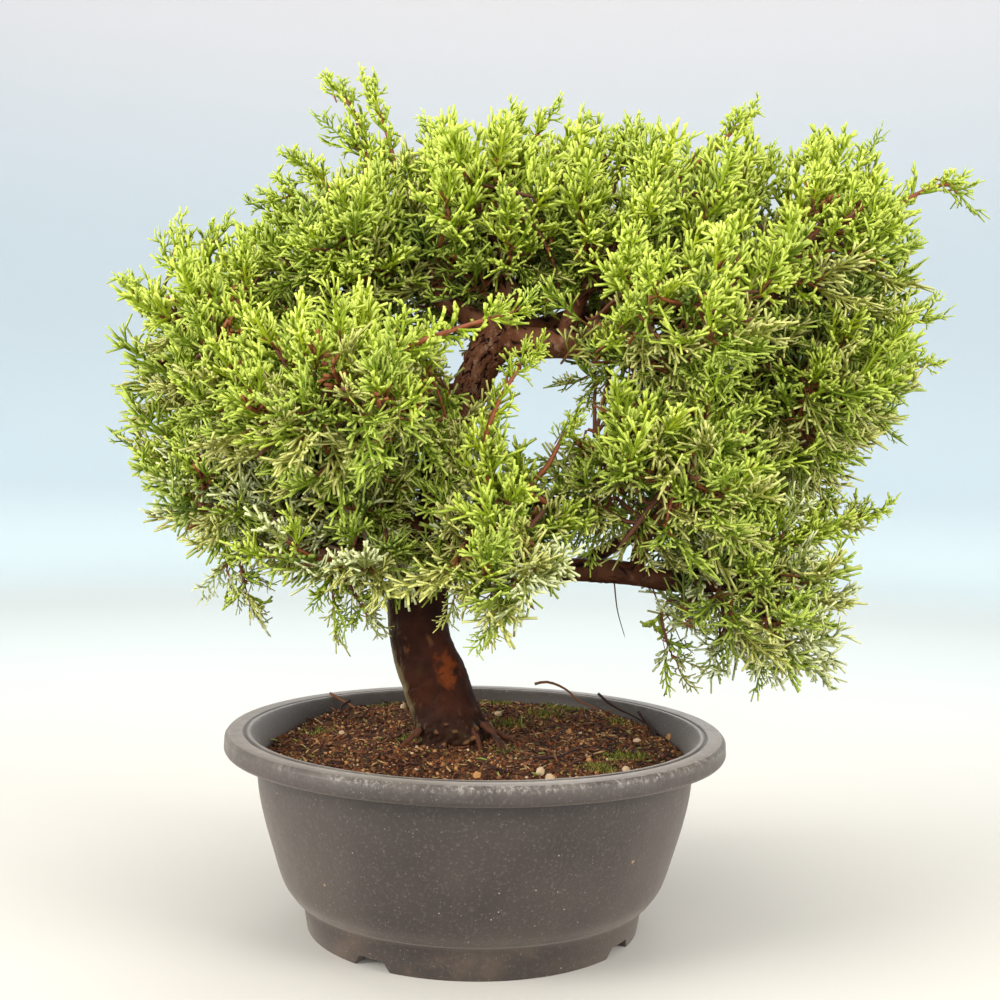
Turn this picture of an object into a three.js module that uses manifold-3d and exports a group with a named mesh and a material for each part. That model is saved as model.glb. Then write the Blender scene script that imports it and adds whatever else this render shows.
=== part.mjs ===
// A juniper bonsai standing in the round plastic pot that it was trained in.
// Units are millimetres, +Z is up, +X is to the right of the tree's front and +Y is towards its back.
// The tree and its pot are worked out around the pot's axis, and then moved so that the origin lies
// on the ground under the middle of the whole plant's reach.

import * as THREE from "three";
import { mergeVertices } from "three/addons/utils/BufferGeometryUtils.js";
import Module from "manifold-3d";

const wasm = await Module();
wasm.setup();

// Gap that parts keep from each other where they meet.
const gap = 0.3;

// Pot
const rimRadius = 90;
const potHeight = 70.7;
const bandHeight = 6.4;
const bandThickness = 2.4;
const flangeThickness = 3.1;
const lipRadius = 80.3;
const grooveRadius = 82.8;
const grooveWidth = 1.2;
const grooveDepth = 0.6;
const wall = 2.4;
const footRadius = 59.8;
const footWall = 4.4;
const baseUnderside = 5;
const baseTop = 8;
const notchCount = 4;
const notchTurn = THREE.MathUtils.degToRad(-122.5);
const notchTop = 10;
const notchBottom = 16;
const notchHeight = 3.6;
const drainRadius = 8;
const smallDrainRadius = 4.5;
const smallDrainCount = 6;
const smallDrainCircle = 32;
const drainSides = 16;
const smallDrainSides = 10;
const potSides = 36;

// Soil
const soilEdge = 62.4;
const soilCrown = 65.9;
const soilRise = 3.9;
const soilRiseFrom = 16;
const soilRiseTo = 54;
const soilSlump = 1.4;
const soilSlumpFrom = 16;
const soilSlumpTo = -14;

// Trunk: points of its middle line with the trunk's diameter there, from the ground to its tip.
const groundLevel = 65.6;
const trunkLine = [
  { at: [-8.6, 6.5, 60], across: 26 },
  { at: [-9.2, 6.5, 65.6], across: 25.8 },
  { at: [-11, 7, 74], across: 26 },
  { at: [-15.2, 7.5, 86], across: 26 },
  { at: [-20.8, 8, 100], across: 24 },
  { at: [-22.2, 7.5, 117], across: 24.4 },
  { at: [-20.4, 6.5, 130], across: 21.5 },
  { at: [-16.6, 5, 143], across: 17.2 },
  { at: [-14.8, 4, 157], across: 16 },
  { at: [-13.2, 4, 170], across: 15.5 },
  { at: [-9.6, 5, 183], across: 15 },
  { at: [-4.6, 6, 193], across: 14.6 },
  { at: [-0.8, 6.5, 203], across: 14.2 },
  { at: [5, 6.5, 213], across: 12.6 },
  { at: [8.4, 6, 226], across: 9 },
  { at: [5.2, 5, 240], across: 7.4 },
  { at: [1, 3, 251], across: 5.6 },
];
const flareHeight = 12;
const flareLobes = 5;
const flareDepth = 0.18;
const trunkSides = 14;
const trunkRings = 26;

// Boughs: each grows from the trunk or from another bough, and ends where its mass of foliage starts.
const boughs = [
  { name: "bough_upper_right", root: 12, tip: 7,
    line: [[3, 6, 211.5], [26, 3, 210.5], [54, 2, 210], [70, 1, 211.5], [92, 0, 222]] },
  { name: "bough_right_shoulder", root: 6, tip: 4.6, line: [[72, 1, 211], [90, 3, 207], [105, 5, 204]] },
  { name: "bough_top_right", root: 7, tip: 5, line: [[29, 3, 211], [33, 1, 224], [42, -2, 238]] },
  { name: "bough_front_right", root: 5.6, tip: 4.4, line: [[50, 2, 210], [54, -12, 214], [57, -22, 217]] },
  {
    name: "bough_back_right", root: 8, tip: 5.4,
    line: [[5, 8, 213], [26, 22, 220], [46, 34, 227], [60, 41, 232]],
  },
  { name: "bough_low_right", root: 10.5, tip: 7.4,
    line: [[-18, 6, 136], [0, 3, 131], [26, -1, 129], [48, -5, 129], [66, -8, 126.5], [80, -10, 126]] },
  { name: "bough_right_front", root: 6, tip: 4.6, line: [[56, -7, 128], [58, -13, 141], [63, -21, 151]] },
  { name: "bough_back_low_right", root: 6, tip: 4.4, line: [[34, -2, 129], [56, 18, 140], [76, 32, 151]] },
  { name: "bough_top_left", root: 8.5, tip: 5.4, line: [[5, 7, 214], [-14, 8, 225], [-33, 7, 238]] },
  { name: "bough_back_top", root: 6, tip: 4.6, line: [[7, 6, 229], [5, 20, 238], [1, 33, 247]] },
  { name: "bough_left_front", root: 7.5, tip: 5, line: [[-12, 4, 171], [-24, -13, 177], [-34, -28, 182]] },
  { name: "bough_left_outer", root: 7.5, tip: 4.8,
    line: [[-9, 5, 184], [-36, 2, 192], [-64, -2, 198], [-86, -4, 201]] },
  { name: "bough_back_left", root: 7, tip: 5, line: [[-6, 7, 191], [-28, 26, 197], [-54, 43, 203]] },
  { name: "bough_left_low_outer", root: 12, tip: 4.6,
    line: [[-16, 5, 139], [-29, 2, 143], [-50, -5, 149], [-78, -10, 156]] },
  { name: "bough_low_left", root: 7, tip: 4, line: [[-22, 5, 128], [-34, -5, 127.5], [-45, -12, 131]] },
  { name: "bough_back_low_left", root: 6.5, tip: 4.6, line: [[-19, 8, 135], [-30, 20, 141], [-41, 31, 147]] },
  { name: "bough_centre_front", root: 6.5, tip: 4.6, line: [[-15, 3, 151], [-5, -16, 147], [2, -30, 143]] },
];
const boughSides = 6;
const boughStep = 16;
const limbPieceLength = 5;

// Foliage masses: each is a space round its centre that its twigs keep to, on the tip of a bough or
// of the trunk, with the long shoots that stand out of the crown's outline.
const masses = [
  { name: "foliage_crown_top_left", on: "bough_top_left", centre: [-55, 5, 254], reach: [44, 57, 42],
    shoots: [[-88, 5, 259], [-78, 0, 277], [-62, 5, 311], [-45.5, 3, 309.5]] },
  { name: "foliage_crown_top", on: "trunk", centre: [0, 0, 262], reach: [48, 55, 41],
    shoots: [[-26, 0, 292], [10, 0, 297], [27, -4, 297]] },
  { name: "foliage_crown_top_right", on: "bough_top_right", centre: [58, -4, 261], reach: [48, 55, 41],
    shoots: [[54, 0, 295], [101, 0, 300]] },
  { name: "foliage_crown_right", on: "bough_upper_right", centre: [117, 0, 251], reach: [53, 59, 47],
    shoots: [[120, 0, 291], [141, 0, 288], [181, 0, 263]] },
  { name: "foliage_right_shoulder", on: "bough_right_shoulder", centre: [131, 4, 201], reach: [43, 57, 48],
    shoots: [[170, 5, 229], [170, 5, 206]] },
  { name: "foliage_right_front", on: "bough_right_front", centre: [66, -34, 166], reach: [48, 51, 44],
    shoots: [] },
  { name: "foliage_right_low", on: "bough_low_right", centre: [105, -8, 122], reach: [43, 51, 42],
    shoots: [[153, -2, 155], [138, -10, 121], [104, -10, 86], [127, -10, 89], [77, -12, 88]] },
  { name: "foliage_centre_front", on: "bough_centre_front", centre: [9, -52, 138], reach: [31, 44, 37],
    shoots: [[2, -55, 106], [22, -58, 208]] },
  { name: "foliage_left_front", on: "bough_left_front", centre: [-50, -52, 190], reach: [55, 55, 42],
    shoots: [[23, -66, 219]] },
  { name: "foliage_left_outer", on: "bough_left_outer", centre: [-99, -5, 210], reach: [44, 55, 47],
    shoots: [[-137, -5, 232]] },
  { name: "foliage_left_low_outer", on: "bough_left_low_outer", centre: [-97, -12, 158], reach: [38, 51, 42],
    shoots: [[-130, -10, 172], [-87, -15, 113], [-78, -15, 107]] },
  { name: "foliage_left_low", on: "bough_low_left", centre: [-54, -20, 136], reach: [44, 55, 35],
    shoots: [[-49, -20, 106], [-33, -22, 105]] },
  { name: "foliage_back_left", on: "bough_back_left", centre: [-80, 56, 211], reach: [52, 53, 51],
    shoots: [] },
  { name: "foliage_back_top", on: "bough_back_top", centre: [-3, 56, 255], reach: [55, 53, 43],
    shoots: [] },
  { name: "foliage_back_right", on: "bough_back_right", centre: [88, 56, 241], reach: [59, 53, 50],
    shoots: [] },
  { name: "foliage_back_low_right", on: "bough_back_low_right", centre: [101, 48, 171], reach: [48, 48, 46],
    shoots: [] },
  { name: "foliage_back_low_left", on: "bough_back_low_left", centre: [-60, 44, 156], reach: [46, 48, 42],
    shoots: [] },
  { name: "foliage_front_right", on: "bough_front_right", centre: [66, -46, 222], reach: [46, 46, 35],
    shoots: [] },
];
const goldenTurn = Math.PI * (3 - Math.sqrt(5));
const firstSeed = 101;
const areaPerTwig = 6000;
// The power that gives an ellipsoid's area closely from the products of its half-axes.
const areaPower = 1.6;
const shortestTwig = 0.9;
const twigLengthRange = 0.12;
const firstTwigShare = 0.55;
const firstShootShare = 0.7;
const shootShareRange = 0.2;
const twigRadius = 1.5;
const twigClearance = 1.6;
const stemTipRadius = 1.8;
const stemBend = 0.4;
const stemSides = 6;
const stemRings = 4;
const leafLength = 32;
const leafWidth = 20;
const leafThickness = 6;
const leafRoomShare = 0.4;
const leafShoulder = 0.18;
const shootLeafSize = 0.65;
const leafSink = 4;
const longestEndLeafShare = 0.8;
const leafOnTwigShare = 0.25;
const firstSideLeafShare = 0.65;
const sideLeafRange = 0.3;
const shortestSideLeaf = 0.8;
const sideLeafLengthRange = 0.25;
const sideLeafTurnRange = 0.8;
const leafSpread = 1.5;
const sideLeafCount = 4;
const shootLeafCount = 4;
const coreShare = 0.66;
const coreUnevenness = 0.12;
const coreDetail = 1;
const smallestDetail = 0.4;

// Materials
const materials = {
  pot: new THREE.MeshStandardMaterial({ color: 0x46444a, roughness: 0.6, metalness: 0 }),
  soil: new THREE.MeshStandardMaterial({ color: 0x5b3521, roughness: 1, metalness: 0 }),
  bark: new THREE.MeshStandardMaterial({ color: 0x6b3d27, roughness: 0.85, metalness: 0 }),
  foliage: new THREE.MeshStandardMaterial({ color: 0x7fa02e, roughness: 0.6, metalness: 0 }),
};

const up = new THREE.Vector3(0, 0, 1);

// A repeatable run of numbers from 0 to 1.
function seededNumbers(seed) {
  let state = seed >>> 0;
  return () => {
    state = (Math.imul(state, 1664525) + 1013904223) >>> 0;
    return state / 4294967296;
  };
}

// Between a three.js geometry and a closed solid that can be joined and cut.
function toSolid(geometry) {
  const shape = geometry.clone();
  shape.deleteAttribute("normal");
  shape.deleteAttribute("uv");
  const merged = mergeVertices(shape, 1e-4);
  return new wasm.Manifold(new wasm.Mesh({
    numProp: 3,
    vertProperties: new Float32Array(merged.attributes.position.array),
    triVerts: new Uint32Array(merged.index.array),
  }));
}

function toGeometry(solid) {
  const mesh = solid.getMesh();
  const geometry = new THREE.BufferGeometry();
  geometry.setAttribute("position", new THREE.BufferAttribute(mesh.vertProperties, 3));
  geometry.setIndex(new THREE.BufferAttribute(mesh.triVerts, 1));
  geometry.computeVertexNormals();
  return geometry;
}

// The biggest piece of a solid, without the scraps that a cut leaves loose.
function biggestPiece(solid) {
  const pieces = solid.decompose();
  pieces.sort((a, b) => b.volume() - a.volume());
  return pieces[0];
}

function addPart(group, name, geometry, material) {
  const mesh = new THREE.Mesh(geometry, material);
  mesh.name = name;
  group.add(mesh);
}

// Lathe profiles run in the plane of the pot's axis, as [radius, height].
function turned(profile, sides) {
  const points = profile.map(([radius, height]) => new THREE.Vector2(radius, height));
  return new THREE.LatheGeometry(points, sides).rotateX(Math.PI / 2);
}

// The hollow curve between the foot and the body, and the body's outer side from there up to the flange.
const footFillet = [[61.3, 8.4], [61.6, 10.2], [62.5, 11.6], [63.8, 12.5]];
const bodySide = [
  [65.2, 13],
  [69, 18.8],
  [72.6, 30],
  [76, 42],
  [78, 53],
  [78.8, potHeight - flangeThickness],
];

function potGeometry() {
  const bandBottom = potHeight - bandHeight;
  const insideOfBand = rimRadius - bandThickness;
  const grooveHalf = grooveWidth / 2;
  const inside = bodySide.slice(1, -1).reverse().map(([radius, height]) => [radius - wall, height + 0.6]);
  const shell = toSolid(turned([
    [0, baseUnderside],
    [footRadius - footWall, baseUnderside],
    [footRadius - footWall, 0],
    [footRadius, 0],
    ...footFillet,
    ...bodySide,
    [insideOfBand - 0.4, potHeight - flangeThickness],
    [insideOfBand, bandBottom],
    [rimRadius - 0.6, bandBottom],
    [rimRadius, bandBottom + 1],
    [rimRadius - 0.2, potHeight - 1.3],
    [rimRadius - 1.3, potHeight],
    [grooveRadius + grooveHalf, potHeight],
    [grooveRadius + grooveHalf - 0.3, potHeight - grooveDepth],
    [grooveRadius - grooveHalf + 0.3, potHeight - grooveDepth],
    [grooveRadius - grooveHalf, potHeight],
    [lipRadius + 0.6, potHeight],
    [lipRadius, potHeight - 0.6],
    [lipRadius - 2.6, potHeight - 3.8],
    ...inside,
    [footRadius, baseTop + 2.4],
    [footRadius - 5, baseTop],
    [0, baseTop],
  ], potSides));

  const notchOutline = new THREE.Shape([
    new THREE.Vector2(-notchBottom / 2, -1),
    new THREE.Vector2(notchBottom / 2, -1),
    new THREE.Vector2(notchTop / 2, notchHeight),
    new THREE.Vector2(-notchTop / 2, notchHeight),
  ]);
  const cutters = [];
  for (let i = 0; i < notchCount; i++) {
    const notch = new THREE.ExtrudeGeometry(notchOutline, { depth: 2 * footWall, bevelEnabled: false });
    notch.rotateX(Math.PI / 2);
    notch.translate(0, footRadius + footWall / 2 + 1, 0);
    notch.rotateZ(notchTurn - Math.PI / 2 + (i * 2 * Math.PI) / notchCount);
    cutters.push(toSolid(notch));
  }
  const drain = (radius, x, y, sides) => {
    const hole = new THREE.CylinderGeometry(radius, radius, 3 * (baseTop - baseUnderside), sides);
    hole.rotateX(Math.PI / 2).translate(x, y, (baseTop + baseUnderside) / 2);
    return toSolid(hole);
  };
  cutters.push(drain(drainRadius, 0, 0, drainSides));
  for (let i = 0; i < smallDrainCount; i++) {
    const turn = (i * 2 * Math.PI) / smallDrainCount;
    const x = smallDrainCircle * Math.cos(turn);
    const y = smallDrainCircle * Math.sin(turn);
    cutters.push(drain(smallDrainRadius, x, y, smallDrainSides));
  }
  return toGeometry(shell.subtract(wasm.Manifold.union(cutters)));
}

// The soil's top, heaped up towards the back of the pot and washed down a little in front.
function heapSoil(geometry) {
  const position = geometry.attributes.position;
  for (let i = 0; i < position.count; i++) {
    if (position.getZ(i) < soilEdge - 0.1) continue;
    const y = position.getY(i);
    const rise = soilRise * THREE.MathUtils.smoothstep(y, soilRiseFrom, soilRiseTo);
    const slump = soilSlump * (1 - THREE.MathUtils.smoothstep(y, soilSlumpTo, soilSlumpFrom));
    position.setZ(i, position.getZ(i) + rise - slump);
  }
  return geometry;
}

function soilGeometry(trunkFoot) {
  const side = bodySide.slice(1, -1).map(([radius, height]) => [radius - wall - gap - 0.2, height + 0.6]);
  const filled = toSolid(heapSoil(turned([
    [0, baseTop + gap],
    [footRadius - 5.2, baseTop + gap],
    [footRadius - 0.6, baseTop + 2.7],
    ...side,
    [76.3, soilEdge],
    [60, soilEdge + 1.3],
    [38, soilCrown - 0.8],
    [16, soilCrown],
    [0, soilCrown],
  ], potSides)));
  return toGeometry(biggestPiece(filled.subtract(trunkFoot)));
}

// A round limb along a smooth line: a cylinder whose rings are carried onto the line.
// radiusAt gives the radius for the share of the way along and the turn round the limb.
function limbGeometry(curve, radiusAt, sides, rings) {
  const limb = new THREE.CylinderGeometry(1, 1, 1, sides, rings);
  const frames = curve.computeFrenetFrames(rings, false);
  const position = limb.attributes.position;
  const point = new THREE.Vector3();
  for (let i = 0; i < position.count; i++) {
    const ring = Math.round((position.getY(i) + 0.5) * rings);
    const share = ring / rings;
    const turn = Math.atan2(position.getX(i), position.getZ(i));
    const radius = Math.hypot(position.getX(i), position.getZ(i)) * radiusAt(share, turn);
    point.copy(curve.getPointAt(share));
    point.addScaledVector(frames.normals[ring], radius * Math.cos(turn));
    point.addScaledVector(frames.binormals[ring], radius * Math.sin(turn));
    position.setXYZ(i, point.x, point.y, point.z);
  }
  return limb;
}

const toVectors = (line) => line.map((point) => new THREE.Vector3(...point));

// The trunk's middle line and its radius along it, read off the named points.
const trunkCurve = new THREE.CatmullRomCurve3(toVectors(trunkLine.map((point) => point.at)));
const trunkRadii = new THREE.CatmullRomCurve3(
  trunkLine.map((point) => new THREE.Vector3(point.across / 2, 0, 0)),
);

// getPointAt goes by length and getPoint by the named points, so a share of the length is turned
// into the share of the points before the radius is read.
function trunkRadiusAt(share) {
  return trunkRadii.getPoint(trunkCurve.getUtoTmapping(share)).x;
}

function trunkSolid(extra) {
  const radiusAt = (share, turn) => {
    const height = trunkCurve.getPointAt(share).z - groundLevel;
    const flare = Math.max(0, 1 - Math.max(0, height) / flareHeight) ** 2;
    const lobe = 0.5 + 0.5 * Math.cos(flareLobes * turn);
    return trunkRadiusAt(share) * (1 + flareDepth * flare * lobe) + extra;
  };
  return toSolid(limbGeometry(trunkCurve, radiusAt, trunkSides, trunkRings));
}

// Every limb is also kept as a chain of short round pieces, for keeping foliage clear of it.
const limbPieces = [];

function noteLimb(owner, curve, radiusAt) {
  const count = Math.ceil(curve.getLength() / limbPieceLength);
  for (let i = 0; i < count; i++) {
    limbPieces.push({
      owner,
      from: curve.getPointAt(i / count),
      to: curve.getPointAt((i + 1) / count),
      radius: radiusAt((i + 0.5) / count),
    });
  }
}

function boughShape(bough) {
  const curve = new THREE.CatmullRomCurve3(toVectors(bough.line));
  const radiusAt = (share) => THREE.MathUtils.lerp(bough.root, bough.tip, share) / 2;
  const rings = Math.max(3, Math.round(curve.getLength() / boughStep));
  const solid = (extra) => {
    const radius = (share) => radiusAt(share) + extra;
    return toSolid(limbGeometry(curve, radius, boughSides, rings));
  };
  return { name: bough.name, curve, radiusAt, solid, tipRadius: bough.tip / 2 };
}

// The shortest distance between two straight pieces.
function distanceBetween(a, b) {
  const u = a.to.clone().sub(a.from);
  const v = b.to.clone().sub(b.from);
  const w = a.from.clone().sub(b.from);
  const uu = u.dot(u);
  const uv = u.dot(v);
  const vv = v.dot(v);
  const uw = u.dot(w);
  const vw = v.dot(w);
  const spread = uu * vv - uv * uv;
  let s = spread > 1e-9 ? THREE.MathUtils.clamp((uv * vw - vv * uw) / spread, 0, 1) : 0;
  const t = THREE.MathUtils.clamp((uv * s + vw) / vv, 0, 1);
  s = THREE.MathUtils.clamp((uv * t - uw) / uu, 0, 1);
  const nearest = w.addScaledVector(u, s).addScaledVector(v, -t);
  return nearest.length();
}

const clearOf = (piece, others) => others.every((other) =>
  other.owner === piece.owner || distanceBetween(piece, other) > piece.radius + other.radius + gap);

// The flat borders between a mass and its neighbours: each keeps to the side of the plane
// where its own round space is the nearer one.
function bordersOf(mass) {
  const size = (one) => (one.reach[0] + one.reach[1] + one.reach[2]) / 3;
  return masses.filter((other) => other !== mass).map((other) => {
    const middle = new THREE.Vector3(...mass.centre);
    const away = new THREE.Vector3(...other.centre).sub(middle);
    const distance = away.length();
    const share = (distance * distance + size(mass) ** 2 - size(other) ** 2) / (2 * distance);
    const normal = away.divideScalar(distance);
    return { normal, offset: normal.dot(middle) + share - gap / 2 - 0.1 };
  });
}

const insideBorders = (geometry, borders) => {
  const position = geometry.attributes.position;
  const point = new THREE.Vector3();
  for (let i = 0; i < position.count; i++) {
    point.fromBufferAttribute(position, i);
    if (borders.some(({ normal, offset }) => normal.dot(point) > offset)) return false;
  }
  return true;
};

// Stands a piece that was made along +Y at a point, heading its own way with its flat side facing a way.
function placedAlong(geometry, from, heading, facing) {
  const flat = facing.clone().addScaledVector(heading, -facing.dot(heading)).normalize();
  const across = new THREE.Vector3().crossVectors(heading, flat);
  geometry.applyMatrix4(new THREE.Matrix4().makeBasis(across, heading, flat));
  return geometry.translate(from.x, from.y, from.z);
}

// A three-sided twig that thins out to a point.
function twigGeometry(from, to, facing) {
  const along = to.clone().sub(from);
  const length = along.length();
  const twig = new THREE.CylinderGeometry(0, twigRadius, length, 3, 1).translate(0, length / 2, 0);
  return placedAlong(twig, from, along.normalize(), facing);
}

// A leaf that stands for a spray: it is widest past its middle, and its root is sunk in the twig.
function leafGeometry(from, heading, length, width, facing) {
  const leaf = new THREE.OctahedronGeometry(0.5, 0);
  const position = leaf.attributes.position;
  for (let i = 0; i < position.count; i++) {
    if (Math.abs(position.getY(i)) < 0.01) position.setY(i, leafShoulder);
  }
  leaf.scale(width, length + leafSink, leafThickness).translate(0, (length - leafSink) / 2, 0);
  return placedAlong(leaf, from, heading, facing);
}

// A twig with its end leaf and its side leaves, which spread out with their flat sides outwards.
// Each is added only where it keeps to its space.
function growTwig(mass, parts, from, to, sideLeaves, leafSize, random, borders) {
  const along = to.clone().sub(from);
  const length = along.length();
  const direction = along.clone().normalize();
  const side = new THREE.Vector3().crossVectors(direction, up).normalize();
  side.applyAxisAngle(direction, random() * 2 * Math.PI);
  const add = (geometry, piece) => {
    if (!insideBorders(geometry, borders) || !clearOf(piece, limbPieces)) return false;
    parts.push(geometry);
    return true;
  };
  const width = leafWidth * leafSize;
  const endLeaf = Math.min(leafLength * leafSize, length * longestEndLeafShare);
  const twigEnd = from.clone().addScaledVector(direction, length - endLeaf * (1 - leafOnTwigShare));
  const twig = { owner: mass.name, from, to: twigEnd, radius: twigRadius };
  if (!add(twigGeometry(from, twigEnd, side), twig)) return [];
  const leaves = [];
  const addLeaf = (root, heading, reach, facing) => {
    const tip = root.clone().addScaledVector(heading, reach);
    const leaf = { owner: mass.name, from: root, to: tip, radius: width * leafRoomShare };
    if (add(leafGeometry(root, heading, reach, width, facing), leaf)) leaves.push(leaf);
  };
  addLeaf(to.clone().addScaledVector(direction, -endLeaf), direction, endLeaf, side);
  for (let i = 0; i < sideLeaves; i++) {
    const turn = (i * 2 * Math.PI) / sideLeaves + sideLeafTurnRange * random();
    const outward = side.clone().applyAxisAngle(direction, turn);
    const heading = outward.multiplyScalar(leafSpread).add(direction).normalize();
    const rootShare = firstSideLeafShare + sideLeafRange * random();
    const root = from.clone().addScaledVector(direction, (length - endLeaf) * rootShare);
    const reach = leafLength * leafSize * (shortestSideLeaf + sideLeafLengthRange * random());
    addLeaf(root, heading, reach, direction);
  }
  return [twig, ...leaves];
}

// The uneven core that fills the middle of a dense mass.
function coreGeometry(mass, random) {
  const core = new THREE.OctahedronGeometry(1, coreDetail);
  const merged = mergeVertices(core.deleteAttribute("normal").deleteAttribute("uv"), 1e-4);
  const position = merged.attributes.position;
  for (let i = 0; i < position.count; i++) {
    const swell = coreShare * (1 + coreUnevenness * (2 * random() - 1));
    position.setXYZ(i, position.getX(i) * swell, position.getY(i) * swell, position.getZ(i) * swell);
  }
  return merged.scale(...mass.reach).translate(...mass.centre);
}

// A plain rod round a stem, shoot or leaf of another mass, for cutting a core clear of it.
function roomAround(piece) {
  const along = piece.to.clone().sub(piece.from);
  const length = along.length();
  const radius = piece.radius + twigClearance;
  const rod = new THREE.CylinderGeometry(radius, radius, length + 2 * radius, stemSides);
  rod.translate(0, length / 2, 0);
  const heading = along.normalize();
  const facing = new THREE.Vector3().crossVectors(heading, up);
  return toSolid(placedAlong(rod, piece.from, heading, facing));
}

// The stem that carries a mass on from its bough's tip, and the shoots that stand out furthest.
function massStem(mass, carrier) {
  const tip = carrier.curve.getPointAt(1);
  const heading = carrier.curve.getTangentAt(1);
  const start = tip.clone().addScaledVector(heading, gap);
  const end = new THREE.Vector3(...mass.centre);
  const bend = start.clone().addScaledVector(heading, start.distanceTo(end) * stemBend);
  const curve = new THREE.QuadraticBezierCurve3(start, bend, end);
  const radiusAt = (share) => THREE.MathUtils.lerp(carrier.tipRadius, stemTipRadius, share);
  return { curve, radiusAt };
}

function growShoots(mass, stem, random) {
  const parts = [];
  const pieces = [];
  mass.shoots.forEach((shoot) => {
    const tip = new THREE.Vector3(...shoot);
    const from = stem.curve.getPointAt(firstShootShare + shootShareRange * random());
    pieces.push(...growTwig(mass, parts, from, tip, shootLeafCount, shootLeafSize, random, []));
  });
  return { parts, pieces };
}

function growMass(mass, stem, shoots, random) {
  const borders = bordersOf(mass);
  const parts = [...shoots.parts];
  const [a, b, c] = mass.reach;
  const faces = [a * b, a * c, b * c].map((product) => product ** areaPower);
  const area = 4 * Math.PI * ((faces[0] + faces[1] + faces[2]) / 3) ** (1 / areaPower);
  const twigCount = Math.round(area / areaPerTwig);
  const centre = new THREE.Vector3(...mass.centre);
  for (let i = 0; i < twigCount; i++) {
    const level = 1 - (2 * (i + 0.5)) / twigCount;
    const ring = Math.sqrt(1 - level * level);
    const turn = i * goldenTurn + random();
    const outward = new THREE.Vector3(ring * Math.cos(turn), ring * Math.sin(turn), level);
    const length = shortestTwig + twigLengthRange * random();
    const end = outward.multiply(new THREE.Vector3(...mass.reach)).multiplyScalar(length).add(centre);
    const from = stem.curve.getPointAt(THREE.MathUtils.lerp(firstTwigShare, 1, random()));
    growTwig(mass, parts, from, end, sideLeafCount, 1, random, borders);
  }
  const stemBody = toSolid(limbGeometry(stem.curve, stem.radiusAt, stemSides, stemRings));
  const others = limbPieces.filter((piece) => piece.owner !== mass.name && piece.owner.startsWith("foliage"));
  let core = toSolid(coreGeometry(mass, random)).subtract(wasm.Manifold.union(others.map(roomAround)));
  borders.forEach(({ normal, offset }) => {
    core = core.trimByPlane([-normal.x, -normal.y, -normal.z], -offset);
  });
  return { body: wasm.Manifold.union([stemBody, ...parts.map(toSolid)]), core };
}

function build() {
  const plant = new THREE.Group();
  const trunk = trunkSolid(0).trimByPlane([0, 0, 1], groundLevel);
  const trunkRoom = trunkSolid(gap).trimByPlane([0, 0, 1], groundLevel - gap);
  const trunkCarrier = { curve: trunkCurve, radiusAt: trunkRadiusAt, tipRadius: trunkRadiusAt(1) };
  noteLimb("trunk", trunkCurve, trunkRadiusAt);

  addPart(plant, "pot", potGeometry(), materials.pot);
  addPart(plant, "soil", soilGeometry(trunkRoom), materials.soil);
  addPart(plant, "trunk", toGeometry(trunk), materials.bark);

  // A bough is cut clear of the trunk and of the boughs before it.
  const carriers = { trunk: trunkCarrier };
  let limbRoom = trunkRoom;
  boughs.map(boughShape).forEach((bough) => {
    carriers[bough.name] = bough;
    noteLimb(bough.name, bough.curve, bough.radiusAt);
    addPart(plant, bough.name, toGeometry(biggestPiece(bough.solid(0).subtract(limbRoom))), materials.bark);
    limbRoom = limbRoom.add(bough.solid(gap));
  });

  const grown = masses.map((mass, i) => {
    const random = seededNumbers(firstSeed + i);
    const stem = massStem(mass, carriers[mass.on]);
    const shoots = growShoots(mass, stem, random);
    return { mass, stem, shoots, random };
  });
  grown.forEach(({ mass, stem, shoots }) => {
    noteLimb(mass.name, stem.curve, stem.radiusAt);
    limbPieces.push(...shoots.pieces);
  });
  const bodies = grown.map(({ mass, stem, shoots, random }) => growMass(mass, stem, shoots, random));
  bodies.forEach(({ body, core }, i) => {
    const whole = body.add(core).simplify(smallestDetail).subtract(limbRoom);
    addPart(plant, masses[i].name, toGeometry(biggestPiece(whole)), materials.foliage);
  });

  const extent = new THREE.Box3().setFromObject(plant);
  const middle = extent.getCenter(new THREE.Vector3());
  plant.position.set(-middle.x, -middle.y, 0);
  const group = new THREE.Group();
  group.add(plant);
  return group;
}

const group = build();
export default group;
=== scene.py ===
# %% [markdown]
# # A juniper bonsai in its training pot
#
# The plain solids of this plant are already made and measured. This lesson dresses them: a moulded
# pot, a bed of grit and moss, a trunk with its bark, and a crown of many thousand foliage cords.
# Every piece keeps to the place that its solid holds, so the solids are loaded first and never moved.

# %% Load the solids
import math

import bmesh
import bpy
import numpy as np
from mathutils import Matrix, Vector, noise


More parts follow.
